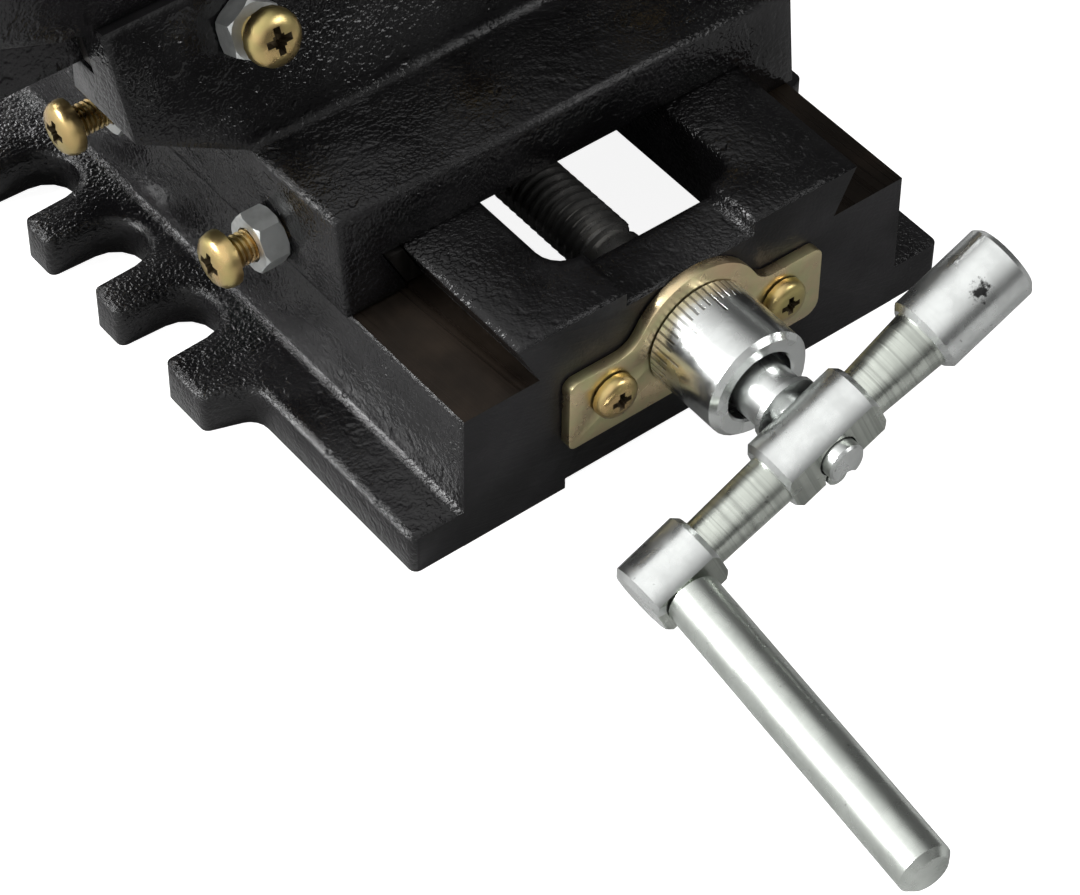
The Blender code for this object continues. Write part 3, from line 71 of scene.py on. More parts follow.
# How far from a shank's radius its facets' corners may be.
RADIUS_SLACK = 0.2 * MM
# Shares of a small screw's radius: its shank's core, and the foot of the ridge round it.
SHANK_CORE = 0.84
SHANK_RIDGE_FOOT = 0.83
SHANK_PITCH = 1 * MM
# Half widths of a ridge at its foot and at its crest, as shares of the pitch.
RIDGE_BASE = 0.44
RIDGE_TOP = 0.14
# A feed screw's ridge starts a little inside its core.
RIDGE_FOOT = 0.985
# Dial marks are cut only in the rim, outside this radius.
DIAL_RIM = 9.8 * MM
SCUFF_RADIUS = 2.8 * MM
SCUFF_COLOR = (0.035, 0.035, 0.035, 1)
ZINC_SPECK_COLOR = (0.12, 0.12, 0.11, 1)
YELLOW_SPECK_COLOR = (0.16, 0.12, 0.05, 1)
ENGRAVED_COLOR = (0.12, 0.12, 0.12, 1)


def group_sockets(group, inputs, outputs):
    """Named inputs and outputs of a shader node group."""
    for name, kind, value in inputs:
        socket = group.interface.new_socket(name, in_out="INPUT", socket_type=kind)
        if value is not None:
            socket.default_value = value
    for name, kind in outputs:
        group.interface.new_socket(name, in_out="OUTPUT", socket_type=kind)


class Graph:
    """Short calls for building one node tree."""

    def __init__(self, tree):
        self.tree = tree

    def node(self, kind, **settings):
        """A node with its own properties set."""
        made = self.tree.nodes.new(kind)
        for key, value in settings.items():
            setattr(made, key, value)
        return made

    def feed(self, socket, value):
        """Link a socket, or set a constant."""
        if isinstance(value, bpy.types.NodeSocket):
            self.tree.links.new(value, socket)
        else:
            socket.default_value = value

    def math(self, operation, *values):
        """A Math node."""
        made = self.node("ShaderNodeMath", operation=operation)
        for socket, value in zip(made.inputs, values):
            self.feed(socket, value)
        return made.outputs[0]

    def vector(self, operation, *values):
        """A Vector Math node."""
        made = self.node("ShaderNodeVectorMath", operation=operation)
        for socket, value in zip(made.inputs, values):
            self.feed(socket, value)
        return made.outputs[1 if operation in {"DOT_PRODUCT", "LENGTH"} else 0]

    def noise(self, vector, scale, detail=2.0, roughness=0.5, dimensions="3D"):
        """The height of a Noise texture."""
        made = self.node("ShaderNodeTexNoise", noise_dimensions=dimensions)
        self.feed(made.inputs["W" if dimensions == "1D" else "Vector"], vector)
        self.feed(made.inputs["Scale"], scale)
        made.inputs["Detail"].default_value = detail
        made.inputs["Roughness"].default_value = roughness
        return made.outputs["Fac"]

    def remap(self, value, low, high, to_low=0.0, to_high=1.0):
        """A smooth Map Range."""
        made = self.node("ShaderNodeMapRange", interpolation_type="SMOOTHSTEP")
        for socket, item in zip(made.inputs, (value, low, high, to_low, to_high)):
            self.feed(socket, item)
        return made.outputs[0]

    def mix(self, factor, first, second):
        """A colour mix."""
        made = self.node("ShaderNodeMix", data_type="RGBA")
        self.feed(made.inputs[0], factor)
        self.feed(made.inputs[6], first)
        self.feed(made.inputs[7], second)
        return made.outputs[2]


def new_group(name, inputs, outputs):
    """An empty shader node group with its sockets, its graph and its two end nodes."""
    group = bpy.data.node_groups.new(name, "ShaderNodeTree")
    group_sockets(group, inputs, outputs)
    graph = Graph(group)
    return group, graph, graph.node("NodeGroupInput"), graph.node("NodeGroupOutput")


def make_cast_skin():
    """Pebbled skin of a sand casting under thick paint, with blotches of dull paint."""
    group, graph, given, out = new_group(
        "Cast skin",
        [
            ("Vector", "NodeSocketVector", None),
            ("Depth", "NodeSocketFloat", 1.0),
        ],
        [("Height", "NodeSocketFloat"), ("Blotch", "NodeSocketFloat")],
    )
    place = given.outputs["Vector"]
    pebbles = graph.remap(graph.noise(place, 1300.0, 1, 0.5), 0.36, 0.62)
    coarse = graph.noise(place, 260.0, 2, 0.5)
    pits = graph.remap(graph.noise(place, 420.0, 1, 0.5), 0.58, 0.72)
    patch = graph.remap(graph.noise(place, 30.0, 2, 0.5), 0.42, 0.60, 0.30, 1.0)
    fine = graph.math("MULTIPLY", pebbles, graph.math("MULTIPLY", patch, 0.36))
    total = graph.math("ADD", fine, graph.math("MULTIPLY", coarse, 0.8))
    total = graph.math("SUBTRACT", total, graph.math("MULTIPLY", pits, 0.3))
    total = graph.math("MULTIPLY", total, given.outputs["Depth"])
    graph.feed(out.inputs["Height"], total)
    blotch = graph.remap(graph.noise(place, 38.0, 4, 0.6), 0.42, 0.64)
    graph.feed(out.inputs["Blotch"], blotch)
    return group


def make_tool_marks():
    """Fine rings that a turning or milling tool leaves along one direction."""
    group, graph, given, out = new_group(
        "Tool marks",
        [
            ("Vector", "NodeSocketVector", None),
            ("Direction", "NodeSocketVector", (0.0, 1.0, 0.0)),
            ("Pitch", "NodeSocketFloat", 2600.0),
        ],
        [("Height", "NodeSocketFloat"), ("Streak", "NodeSocketFloat")],
    )
    place = given.outputs["Vector"]
    along = graph.vector("DOT_PRODUCT", place, given.outputs["Direction"])
    rings = graph.noise(along, given.outputs["Pitch"], 2, 0.6, "1D")
    broad = graph.noise(along, 420.0, 2, 0.5, "1D")
    broken = graph.noise(place, 240.0, 2, 0.5)
    marks = graph.math("MULTIPLY", rings, graph.remap(broken, 0.3, 0.7, 0.35, 1.0))
    graph.feed(out.inputs["Height"], graph.math("ADD", marks, graph.math("MULTIPLY", broad, 0.5)))
    graph.feed(out.inputs["Streak"], graph.math("MULTIPLY", graph.math("ADD", rings, broad), 0.5))
    return group


def make_plating():
    """Clouds and small dark specks of an electroplated surface."""
    group, graph, given, out = new_group(
        "Plating",
        [("Vector", "NodeSocketVector", None), ("Speck", "NodeSocketFloat", 900.0)],
        [("Cloud", "NodeSocketFloat"), ("Specks", "NodeSocketFloat"), ("Height", "NodeSocketFloat")],
    )
    place = given.outputs["Vector"]
    cloud = graph.noise(place, 150.0, 3, 0.55)
    graph.feed(out.inputs["Cloud"], graph.remap(cloud, 0.32, 0.68))
    specks = graph.noise(place, given.outputs["Speck"], 1, 0.4)
    graph.feed(out.inputs["Specks"], graph.remap(specks, 0.74, 0.84))
    dents = graph.remap(graph.noise(place, 330.0, 2, 0.5), 0.34, 0.50)
    fine = graph.math("MULTIPLY", graph.noise(place, 1500.0, 2, 0.5), 0.35)
    graph.feed(out.inputs["Height"], graph.math("ADD", dents, fine))
    return group


def make_scuff():
    """A ragged dark mark rubbed into a surface at one spot."""
    group, graph, given, out = new_group(
        "Scuff",
        [
            ("Vector", "NodeSocketVector", None),
            ("Spot", "NodeSocketVector", (0.0, 0.0, 0.0)),
            ("Reach", "NodeSocketFloat", 0.003),
        ],
        [("Mask", "NodeSocketFloat")],
    )
    place = given.outputs["Vector"]
    away = graph.vector("LENGTH", graph.vector("SUBTRACT", place, given.outputs["Spot"]))
    share = graph.math("DIVIDE", away, given.outputs["Reach"])
    ragged = graph.math("MULTIPLY", graph.noise(place, 900.0, 3, 0.6), 1.7)
    graph.feed(out.inputs["Mask"], graph.remap(graph.math("ADD", share, ragged), 1.15, 1.55, 1, 0))
    return group


GROUPS = {}


def shared_group(name):
    """One of the shared node groups, built the first time it is asked for."""
    makers = {
        "Cast skin": make_cast_skin,
        "Tool marks": make_tool_marks,
        "Plating": make_plating,
        "Scuff": make_scuff,
    }
    if name not in GROUPS:
        GROUPS[name] = makers[name]()
    return GROUPS[name]


def new_material(name, roughness, metallic, color):
    """A material with its shader, its graph and the object's coordinates."""
    material = bpy.data.materials.new(name)
    material.use_nodes = True
    graph = Graph(material.node_tree)
    shader = material.node_tree.nodes["Principled BSDF"]
    shader.inputs["Roughness"].default_value = roughness
    shader.inputs["Metallic"].default_value = metallic
    shader.inputs["Base Color"].default_value = (*color[:3], 1)
    place = graph.node("ShaderNodeTexCoord").outputs["Object"]
    return material, graph, shader, place


def use_group(graph, name, place, **values):
    """A shared group in a material, with its inputs set."""
    made = graph.node("ShaderNodeGroup", node_tree=shared_group(name))
    graph.feed(made.inputs["Vector"], place)
    for key, value in values.items():
        graph.feed(made.inputs[key], value)
    return made


def bump(graph, shader, height, distance):
    """A Bump node of full strength into the shader's normal."""
    made = graph.node("ShaderNodeBump")
    made.inputs["Strength"].default_value = 1.0
    made.inputs["Distance"].default_value = distance
    graph.feed(made.inputs["Height"], height)
    graph.feed(shader.inputs["Normal"], made.outputs["Normal"])
    return made


def black_paint(settings):
    """Thick gloss paint over a sand-cast skin."""
    material, graph, shader, place = new_material(
        "black casting paint", 0.3, 0.0, settings.paint_color
    )
    skin = use_group(graph, "Cast skin", place)
    shader.inputs["Specular IOR Level"].default_value = 0.36
    blotch = skin.outputs["Blotch"]
    graph.feed(shader.inputs["Roughness"], graph.remap(blotch, 0.0, 1.0, 0.13, 0.24))
    dull = [min(1, value * 1.5 + 0.003) for value in settings.paint_color]
    color = graph.mix(blotch, (*settings.paint_color, 1), (*dull, 1))
    graph.feed(shader.inputs["Base Color"], color)
    relief = bump(graph, shader, skin.outputs["Height"], settings.skin_depth * MM)
    corners = graph.node("ShaderNodeBevel", samples=4)
    corners.inputs["Radius"].default_value = settings.corner_radius
    graph.feed(relief.inputs["Normal"], corners.outputs["Normal"])
    return material


def machined_way(settings):
    """Milled iron of the ways, brown with oil."""
    material, graph, shader, place = new_material("milled way", 0.35, 0.75, settings.way_color)
    marks = use_group(graph, "Tool marks", place, Direction=(1.0, 0.06, 0.0), Pitch=1500.0)
    skin = use_group(graph, "Cast skin", place)
    dark = [value * 0.35 for value in settings.way_color]
    stain = graph.math("MULTIPLY", skin.outputs["Blotch"], 0.8)
    color = graph.mix(stain, (*settings.way_color, 1), (*dark, 1))
    graph.feed(shader.inputs["Base Color"], color)
    rough = graph.remap(marks.outputs["Streak"], 0.35, 0.65, 0.26, 0.42)
    graph.feed(shader.inputs["Roughness"], rough)
    bump(graph, shader, marks.outputs["Height"], 0.02 * MM)
    return material


def front_paint(settings):
    """Thin dull paint over a milled end face."""
    material, graph, shader, place = new_material(
        "thin paint on a milled face", 0.45, 0.0, settings.face_color
    )
    marks = use_group(graph, "Tool marks", place, Direction=(0.3, 0.0, 1.0), Pitch=900.0)
    skin = use_group(graph, "Cast skin", place, Depth=0.8)
    shader.inputs["Specular IOR Level"].default_value = 0.22
    pale = [min(1, value * 2.6) for value in settings.face_color]
    color = graph.mix(skin.outputs["Blotch"], (*settings.face_color, 1), (*pale, 1))
    graph.feed(shader.inputs["Base Color"], color)
    height = graph.math("ADD", marks.outputs["Height"], skin.outputs["Height"])
    bump(graph, shader, height, 0.05 * MM)
    return material


def zinc(settings, name, direction, depth=0.004, pitch=1800.0, scuff=None, bright=(1.0, 1.0, 1.0)):
    """Bright zinc plate over turned steel, with its tool marks' depth in millimetres."""
    plated = [value * part for value, part in zip(settings.zinc_color, bright)]
    material, graph, shader, place = new_material(name, 0.3, 1.0, plated)
    marks = use_group(graph, "Tool marks", place, Direction=direction, Pitch=pitch)
    plate = use_group(graph, "Plating", place)
    shade = [value * 0.78 for value in plated]
    color = graph.mix(plate.outputs["Cloud"], (*plated, 1), (*shade, 1))
    worn = graph.remap(marks.outputs["Streak"], 0.45, 0.62, 0.0, min(1.0, depth * 9.0))
    color = graph.mix(worn, color, (*[value * 0.5 for value in plated], 1))
    spots = graph.math("MULTIPLY", plate.outputs["Specks"], 0.6)
    color = graph.mix(spots, color, ZINC_SPECK_COLOR)
    if scuff:
        mask = use_group(graph, "Scuff", place, Spot=scuff, Reach=SCUFF_RADIUS).outputs["Mask"]
        color = graph.mix(mask, color, SCUFF_COLOR)
    graph.feed(shader.inputs["Base Color"], color)
    rough = graph.remap(plate.outputs["Cloud"], 0.0, 1.0, 0.24, 0.33)
    graph.feed(shader.inputs["Roughness"], rough)
    height = graph.math(
        "ADD",
        graph.math("MULTIPLY", marks.outputs["Height"], depth),
        graph.math("MULTIPLY", plate.outputs["Height"], 0.006),
    )
    bump(graph, shader, height, MM)
    return material


def dull_zinc(settings):
    """Grey plate of the lock nuts, marked by spanners."""
    color = [value * 0.9 for value in settings.zinc_color]
    material, graph, shader, place = new_material("lock nut plate", 0.36, 0.7, color)
    plate = use_group(graph, "Plating", place)
    dark = [value * 0.62 for value in color]
    graph.feed(
        shader.inputs["Base Color"],
        graph.mix(plate.outputs["Cloud"], (*color, 1), (*dark, 1)),
    )
    graph.feed(shader.inputs["Roughness"], graph.remap(plate.outputs["Cloud"], 0, 1, 0.3, 0.44))
    bump(graph, shader, plate.outputs["Height"], 0.02 * MM)
    return material


def yellow_zinc(settings, name, tint=(1.0, 1.0, 1.0)):
    """Yellow passivated plate, with pink and green clouds."""
    plated = [value * part for value, part in zip(settings.yellow_color, tint)]
    material, graph, shader, place = new_material(name, 0.3, 1.0, plated)
    plate = use_group(graph, "Plating", place, Speck=700.0)
    green = [value * part for value, part in zip(plated, (0.82, 1.0, 0.9))]
    color = graph.mix(plate.outputs["Cloud"], (*plated, 1), (*green, 1))
    warm = graph.remap(graph.noise(place, 75.0, 3, 0.5), 0.52, 0.7, 0.0, 0.55)
    pink = [value * part for value, part in zip(plated, (1.05, 0.84, 0.92))]
    color = graph.mix(warm, color, (*pink, 1))
    spots = graph.math("MULTIPLY", plate.outputs["Specks"], 0.5)
    graph.feed(shader.inputs["Base Color"], graph.mix(spots, color, YELLOW_SPECK_COLOR))
    graph.feed(shader.inputs["Roughness"], graph.remap(plate.outputs["Cloud"], 0, 1, 0.26, 0.38))
    bump(graph, shader, plate.outputs["Height"], 0.008 * MM)
    return material


def recess_painted_shade(settings):
    """Dark bottom of a driver recess: the yellow plate colour darkened as painted shade."""
    # Painted shade: the yellow plate colour at 0.16 of its brightness.
    color = [value * 0.16 for value in settings.yellow_color]
    material, graph, shader, place = new_material("driver recess", 0.45, 0.9, color)
    plate = use_group(graph, "Plating", place)
    bump(graph, shader, plate.outputs["Height"], 0.01 * MM)
    return material


def dark_steel(settings):
    """Oily black oxide on the screws' threads."""
    material, graph, shader, place = new_material("black oxide", 0.34, 0.85, settings.oxide_color)
    plate = use_group(graph, "Plating", place)
    pale = [value * 1.5 for value in settings.oxide_color]
    color = graph.mix(plate.outputs["Cloud"], (*settings.oxide_color, 1), (*pale, 1))
    graph.feed(shader.inputs["Base Color"], color)
    graph.feed(shader.inputs["Roughness"], graph.remap(plate.outputs["Cloud"], 0, 1, 0.18, 0.28))
    bump(graph, shader, plate.outputs["Height"], 0.01 * MM)
    return material


def plain_metal(name, color, roughness, direction, pitch):
    """Machined metal with tool marks, for the gibs, nuts and jaw plates."""
    material, graph, shader, place = new_material(name, roughness, 1.0, color)
    marks = use_group(graph, "Tool marks", place, Direction=direction, Pitch=pitch)
    dark = [value * 0.7 for value in color]
    graph.feed(shader.inputs["Base Color"], graph.mix(marks.outputs["Streak"], (*color, 1), (*dark, 1)))
    low = roughness * 0.75
    high = min(1.0, roughness * 1.3)
    rough = graph.remap(marks.outputs["Streak"], 0.3, 0.7, low, high)
    graph.feed(shader.inputs["Roughness"], rough)
    bump(graph, shader, marks.outputs["Height"], 0.015 * MM)
    return material


def dial_metal(settings, name, centre, axis):
    """Bright plate of a dial with engraved graduations round its inner end."""
    material, graph, shader, place = new_material(name, 0.24, 1.0, settings.zinc_color)
    away = graph.vector("SUBTRACT", place, tuple(centre))
    parts = graph.node("ShaderNodeSeparateXYZ")
    graph.feed(parts.inputs[0], away)
    turn_axis = max(range(3), key=lambda i: abs(axis[i]))
    first, second = [i for i in range(3) if i != turn_axis]
    angle = graph.math("ARCTAN2", parts.outputs[first], parts.outputs[second])
    count = settings.dial_divisions
    step = graph.math("MULTIPLY", angle, count / (2 * math.pi))
    near = graph.math("ABSOLUTE", graph.math("SUBTRACT", step, graph.math("ROUND", step)))
    line = graph.remap(near, 0.11, 0.19, 1.0, 0.0)
    fifths = graph.math("MULTIPLY", angle, count / 5 / (2 * math.pi))
    off = graph.math("ABSOLUTE", graph.math("SUBTRACT", fifths, graph.math("ROUND", fifths)))
    longer = graph.remap(off, 0.06, 0.08, 1.0, 0.0)
    along = graph.math("ABSOLUTE", parts.outputs[turn_axis])
    extra = graph.math("MULTIPLY", longer, settings.long_mark_extra * MM)
    inside = graph.math("LESS_THAN", along, graph.math("ADD", settings.mark_length * MM, extra))
    square = graph.math("MULTIPLY", parts.outputs[first], parts.outputs[first])
    other = graph.math("MULTIPLY", parts.outputs[second], parts.outputs[second])
    radius = graph.math("SQRT", graph.math("ADD", square, other))
    inside = graph.math("MULTIPLY", inside, graph.math("GREATER_THAN", radius, DIAL_RIM))
    mark = graph.math("MULTIPLY", line, inside)
    plate = use_group(graph, "Plating", place)
    shade = [value * 0.85 for value in settings.zinc_color]
    color = graph.mix(plate.outputs["Cloud"], (*settings.zinc_color, 1), (*shade, 1))
    deep = graph.math("MULTIPLY", mark, 0.75)
    graph.feed(shader.inputs["Base Color"], graph.mix(deep, color, ENGRAVED_COLOR))
    graph.feed(shader.inputs["Roughness"], graph.remap(plate.outputs["Cloud"], 0, 1, 0.18, 0.3))
    plain = graph.math("MULTIPLY", plate.outputs["Height"], 0.05)
    bump(graph, shader, graph.math("SUBTRACT", plain, mark), 0.14 * MM)
    return material


def mesh_of(node):
    """A bmesh copy of a CAD node with its doubles merged."""
    bm = bmesh.new()
    bm.from_mesh(NODES[node].data)
    bmesh.ops.remove_doubles(bm, verts=bm.verts, dist=MERGE_DISTANCE)
    return bm


def smooth_mesh(mesh, sharp):
    """Smooth a mesh up to an angle in degrees, from its own faces alone."""
    for name in ("custom_normal", "sharp_edge", "sharp_face"):
        stored = mesh.attributes.get(name)
        if stored:
            mesh.attributes.remove(stored)
    mesh.shade_smooth()
    mesh.set_sharp_from_angle(angle=math.radians(sharp))


def place_piece(bm, node, materials, sharp):
    """Turn a bmesh into a finished piece that stands for a CAD node."""
    name = node + SUFFIX
    mesh = bpy.data.meshes.new(name)
    bm.to_mesh(mesh)
    bm.free()
    for material in materials:
        mesh.materials.append(material)
    smooth_mesh(mesh, sharp)
    piece = bpy.data.objects.new(name, mesh)
    bpy.context.scene.collection.objects.link(piece)
    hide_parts(node)
    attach(piece, BODY_OF[node])
    return piece


def soften_edges(bm, width, angle=35.0):
    """Round the edges of a copy that are sharper than an angle in degrees."""
    bmesh.ops.dissolve_limit(
        bm, angle_limit=math.radians(0.5), verts=bm.verts, edges=bm.edges, use_dissolve_boundaries=False
    )
    sharp = [
        edge
        for edge in bm.edges
        if len(edge.link_faces) == 2 and edge.calc_face_angle(0) > math.radians(angle)
    ]
    bmesh.ops.bevel(
        bm,
        geom=sharp,
        offset=width,
        offset_type="OFFSET",
        segments=2,
        profile=0.5,
        affect="EDGES",
        clamp_overlap=True,
        material=-1,
    )
    bmesh.ops.remove_doubles(bm, verts=bm.verts, dist=MERGE_DISTANCE)


def smooth_copy(node, material):
    """A merged copy of a CAD node in one finish, smooth where it is round."""
    return place_piece(mesh_of(node), node, [material], 35.0)


def thread_ridge(bm, start, direction, core, crest, pitch, length, hand=1, steps=20):
    """Spin one turn of a thread's ridge and repeat it along the screw."""
    side = direction.orthogonal().normalized()
    shape = [(core, -RIDGE_BASE), (crest, -RIDGE_TOP), (crest, RIDGE_TOP), (core, RIDGE_BASE)]
    begin = start + direction * pitch * 0.5
    rim = [bm.verts.new(begin + side * r + direction * (z * pitch)) for r, z in shape]
    edges = [bm.edges.new(pair) for pair in zip(rim, rim[1:])]
    old = set(bm.faces)
    bmesh.ops.spin(
        bm,
        geom=rim + edges,
        cent=begin,
        axis=direction,
        dvec=direction * (pitch / steps),
        angle=hand * 2 * math.pi,
        steps=steps,
        use_merge=False,
    )
    turn = [face for face in bm.faces if face not in old]
    bmesh.ops.recalc_face_normals(bm, faces=turn)
    outer = max(turn, key=lambda face: axis_distance(face.calc_center_median(), begin, direction)[1])
    spot = outer.calc_center_median()
    along = axis_distance(spot, begin, direction)[0]
    if outer.normal.dot(spot - (begin + direction * along)) < 0:
        bmesh.ops.reverse_faces(bm, faces=turn)
    for index in range(1, max(1, int(length / pitch - 1))):
        made = bmesh.ops.duplicate(bm, geom=turn)["geom"]
        verts = [item for item in made if isinstance(item, bmesh.types.BMVert)]
        bmesh.ops.translate(bm, vec=direction * (pitch * index), verts=verts)
    bmesh.ops.remove_doubles(bm, verts=bm.verts, dist=MERGE_DISTANCE)


def axis_distance(point, start, direction):
    """How far along an axis a point is, and how far from it."""
    away = point - start
    along = away.dot(direction)
    return along, (away - direction * along).length


def threaded_copy(node, start, direction, low, high, radius, core, pitch, hand, materials, plated):
    """A copy of a screw with a ridge round its core, oxide on it and plate where plated says so."""
    bm = mesh_of(node)
    for vertex in bm.verts:
        along, far = axis_distance(vertex.co, start, direction)
        if low - 0.1 * MM <= along <= high + 0.1 * MM and abs(far - radius) < RADIUS_SLACK:
            middle = start + direction * along
            vertex.co = middle + (vertex.co - middle) * (core / far)
    begin = start + direction * low
    thread_ridge(bm, begin, direction, core * RIDGE_FOOT, radius, pitch, high - low, hand)
    for face in bm.faces:
        along = axis_distance(face.calc_center_median(), start, direction)[0]
        face.material_index = 1 if plated(along) else 0
    return place_piece(bm, node, materials, 40.0)


def cross_cutter(seat, direction, width, depth, spread, materials):
    """A tapered cross for a driver recess, pointing down into a head."""
    bm = bmesh.new()
    for turn in (0.0, math.pi / 2):
        made = bmesh.ops.create_cube(bm, size=1)["verts"]
        bmesh.ops.scale(bm, vec=(spread * 2, width, depth * 2), verts=made)
        low = [vertex for vertex in made if vertex.co.z < 0]
        bmesh.ops.scale(bm, vec=(0.45, 0.75, 1), verts=low)
        bmesh.ops.rotate(bm, cent=(0, 0, 0), matrix=Matrix.Rotation(turn, 3, "Z"), verts=made)
    middle = bmesh.ops.create_cone(
        bm,
        cap_ends=True,
        segments=4,
        radius1=spread * 0.3,
        radius2=spread * 0.62,
        depth=depth * 2.1,
    )["verts"]
    bmesh.ops.rotate(
        bm, cent=(0, 0, 0), matrix=Matrix.Rotation(math.pi / 4, 3, "Z"), verts=middle
    )
    aim = direction.to_track_quat("Z", "Y").to_matrix().to_4x4()
    bmesh.ops.transform(bm, matrix=Matrix.Translation(seat) @ aim, verts=bm.verts)
    # The recess faces take the second material, the painted shade.
    for face in bm.faces:
        face.material_index = 1
    mesh = bpy.data.meshes.new("recess")
    bm.to_mesh(mesh)
    bm.free()
    for material in materials:
        mesh.materials.append(material)
    cutter = bpy.data.objects.new("recess", mesh)
    bpy.context.scene.collection.objects.link(cutter)
    return cutter


def cut_with(piece, cutter):
    """Cut a piece and keep the result as its mesh."""
    step = piece.modifiers.new("recess", "BOOLEAN")
    step.operation = "DIFFERENCE"
    step.solver = "EXACT"
    step.use_self = True
    step.object = cutter
    bpy.context.view_layer.update()
    graph = bpy.context.evaluated_depsgraph_get()
    made = bpy.data.meshes.new_from_object(piece.evaluated_get(graph))
    old = piece.data
    piece.modifiers.clear()
    piece.data = made
    bpy.data.meshes.remove(old)
    bpy.data.objects.remove(cutter, do_unlink=True)
    smooth_mesh(made, 35.0)


def screw_with_cross(node, top, direction, materials, options):
    """A pan-head screw with a cross recess and its visible thread."""
    direction = Vector(direction)
    bm = mesh_of(node)
    start = top - direction * options["head"]
    down = -direction
    radius = options["radius"]
    for vertex in bm.verts:
        along, far = axis_distance(vertex.co, start, down)
        if along > -0.01 * MM and abs(far - radius) < RADIUS_SLACK:
            middle = start + down * along
            vertex.co = middle + (vertex.co - middle) * SHANK_CORE
    piece = place_piece(bm, node, materials, 35.0)
    cross = options["width"], options["depth"], options["spread"]
    cutter = cross_cutter(top, direction, *cross, materials)
    cut_with(piece, cutter)
    if options["thread"] > 0:
        bm = bmesh.new()
        bm.from_mesh(piece.data)
        foot = radius * SHANK_RIDGE_FOOT
        thread_ridge(bm, start, down, foot, radius, SHANK_PITCH, options["thread"])
        bm.to_mesh(piece.data)
        bm.free()
        smooth_mesh(piece.data, 40.0)


def node_middle(node):
    """Middle of a CAD node's box."""
    low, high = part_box(node)
    return (low + high) / 2


def color_setting(name, description, default):
    """A colour among the settings."""
    return FloatVectorProperty(
        name=name,
        description=description,
        subtype="COLOR",
        size=3,
        min=0,
        max=1,
        default=default,
    )


class VISE_PG_settings(bpy.types.PropertyGroup):
    """Sizes and colours of the vise's finishes."""

    paint_color: color_setting("Paint", "Colour of the castings' paint", (0.0034, 0.0032, 0.0035))
    face_color: color_setting(
        "End face", "Colour of the thin paint on milled end faces", (0.0055, 0.0052, 0.0056)
    )
    way_color: color_setting("Way", "Colour of the oily milled ways", (0.026, 0.018, 0.012))
    zinc_color: color_setting(
        "Bright zinc", "Colour of the crank, dial and nut plating", (0.73, 0.75, 0.735)
    )
    yellow_color: color_setting(
        "Yellow zinc", "Colour of the retaining plates and gib screws", (0.77, 0.60, 0.37)
    )
    oxide_color: color_setting("Black oxide", "Colour of the screws' threads", (0.16, 0.157, 0.15))
    floor_color: color_setting("Floor", "Colour of the studio floor", (0.62, 0.62, 0.62))
    skin_depth: FloatProperty(
        name="Skin depth",
        description="Depth of the pebbled casting skin in millimetres",
        default=0.30,
        min=0,
        max=2,
    )
    edge_radius: FloatProperty(
        name="Edge radius",
        description="Rounding of the castings' edges",
        default=0.0011,
        min=0,
        max=0.003,
        unit="LENGTH",
    )
    corner_radius: FloatProperty(
        name="Corner radius",
        description="Round that the paint shows on the castings' edges and in their corners",
        default=0.0024,
        min=0,
        max=0.005,
        unit="LENGTH",
    )
    thread_pitch: FloatProperty(
        name="Thread pitch",
        description="Pitch of the feed screws",
        default=0.002,
        min=0.0005,
        max=0.006,
        unit="LENGTH",
    )
    jaw_pitch: FloatProperty(
        name="Jaw screw pitch",
        description="Pitch of the jaw screw",
        default=0.003,
        min=0.0005,
        max=0.006,
        unit="LENGTH",
    )
    dial_divisions: IntProperty(
        name="Dial divisions",
        description="Graduations round a dial",
        default=50,
        min=10,
        max=200,
    )
    mark_length: FloatProperty(
        name="Mark length",
        description="Length of a dial's short graduations in millimetres",
        default=4.1,
        min=1,
        max=10,
    )
    long_mark_extra: FloatProperty(
        name="Long mark",
        description="How much longer every fifth graduation is, in millimetres",
        default=2.6,
        min=0,
        max=6,
    )


def settings_of(context):
    """The vise's settings."""
    return context.scene.vise_settings


CASTINGS = ("base", "saddle", "vise_bed", "moving_jaw")
CRANK_TURN = math.radians(23.5)
CRANK_EDGE = 0.25 * MM
PLATE_EDGE = 0.55 * MM
NECK_RADIUS = 5.9 * MM
NECK_TINT = (0.8, 0.82, 0.76)
HANDLE_TINT = (0.88, 0.9, 0.86)
SCREW_TINT = (0.78, 0.70, 0.52)
KNOB_RADIUS = 7.25 * MM
SCUFF_REACH = 35 * MM
SCUFF_SIDE = Vector((-0.25, -0.62, 0.74))
# Lengths along a screw are taken from its joint's point.
FEED_THREAD_START = 21 * MM
FEED_THREAD_RADIUS = 6 * MM
FEED_CORE_RADIUS = 5.05 * MM
JAW_THREAD_START = 5.2 * MM
JAW_THREAD_RADIUS = 7 * MM
JAW_CORE_RADIUS = 5.6 * MM
JAW_PLAIN_SHANK = 4 * MM
X_GIB_TILT = math.radians(22)
# The head and the pointed end of a gib screw, which have no thread.
GIB_BARE_LENGTH = 6 * MM
SLIDE_GAP = 0.3 * MM
Y_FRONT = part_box("base")[0].y
WAY_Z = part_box("saddle")[0].z - SLIDE_GAP
SADDLE_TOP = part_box("saddle")[1].z
BED_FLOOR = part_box("vise_bed")[0].z


def base_zone(centre, normal):
    """Milled ways, thin paint on the front face, skin elsewhere."""
    if abs(centre.z - WAY_Z) < 0.2 * MM and normal.z > 0.9:
        return 1
    if centre.y < Y_FRONT + 0.1 * MM and normal.y < -0.9:
        return 2
    if centre.z < 0.1 * MM and normal.z < -0.9:
        return 1
    return 0


def upper_zone(centre, normal):
    """Milled mating faces of the saddle and of the bed."""
    if abs(centre.z - SADDLE_TOP) < 0.5 * MM and abs(normal.z) > 0.9:
        return 2
    if BED_FLOOR - MM < centre.z < SADDLE_TOP and -0.5 < normal.z < -0.3:
        return 2
    return 0


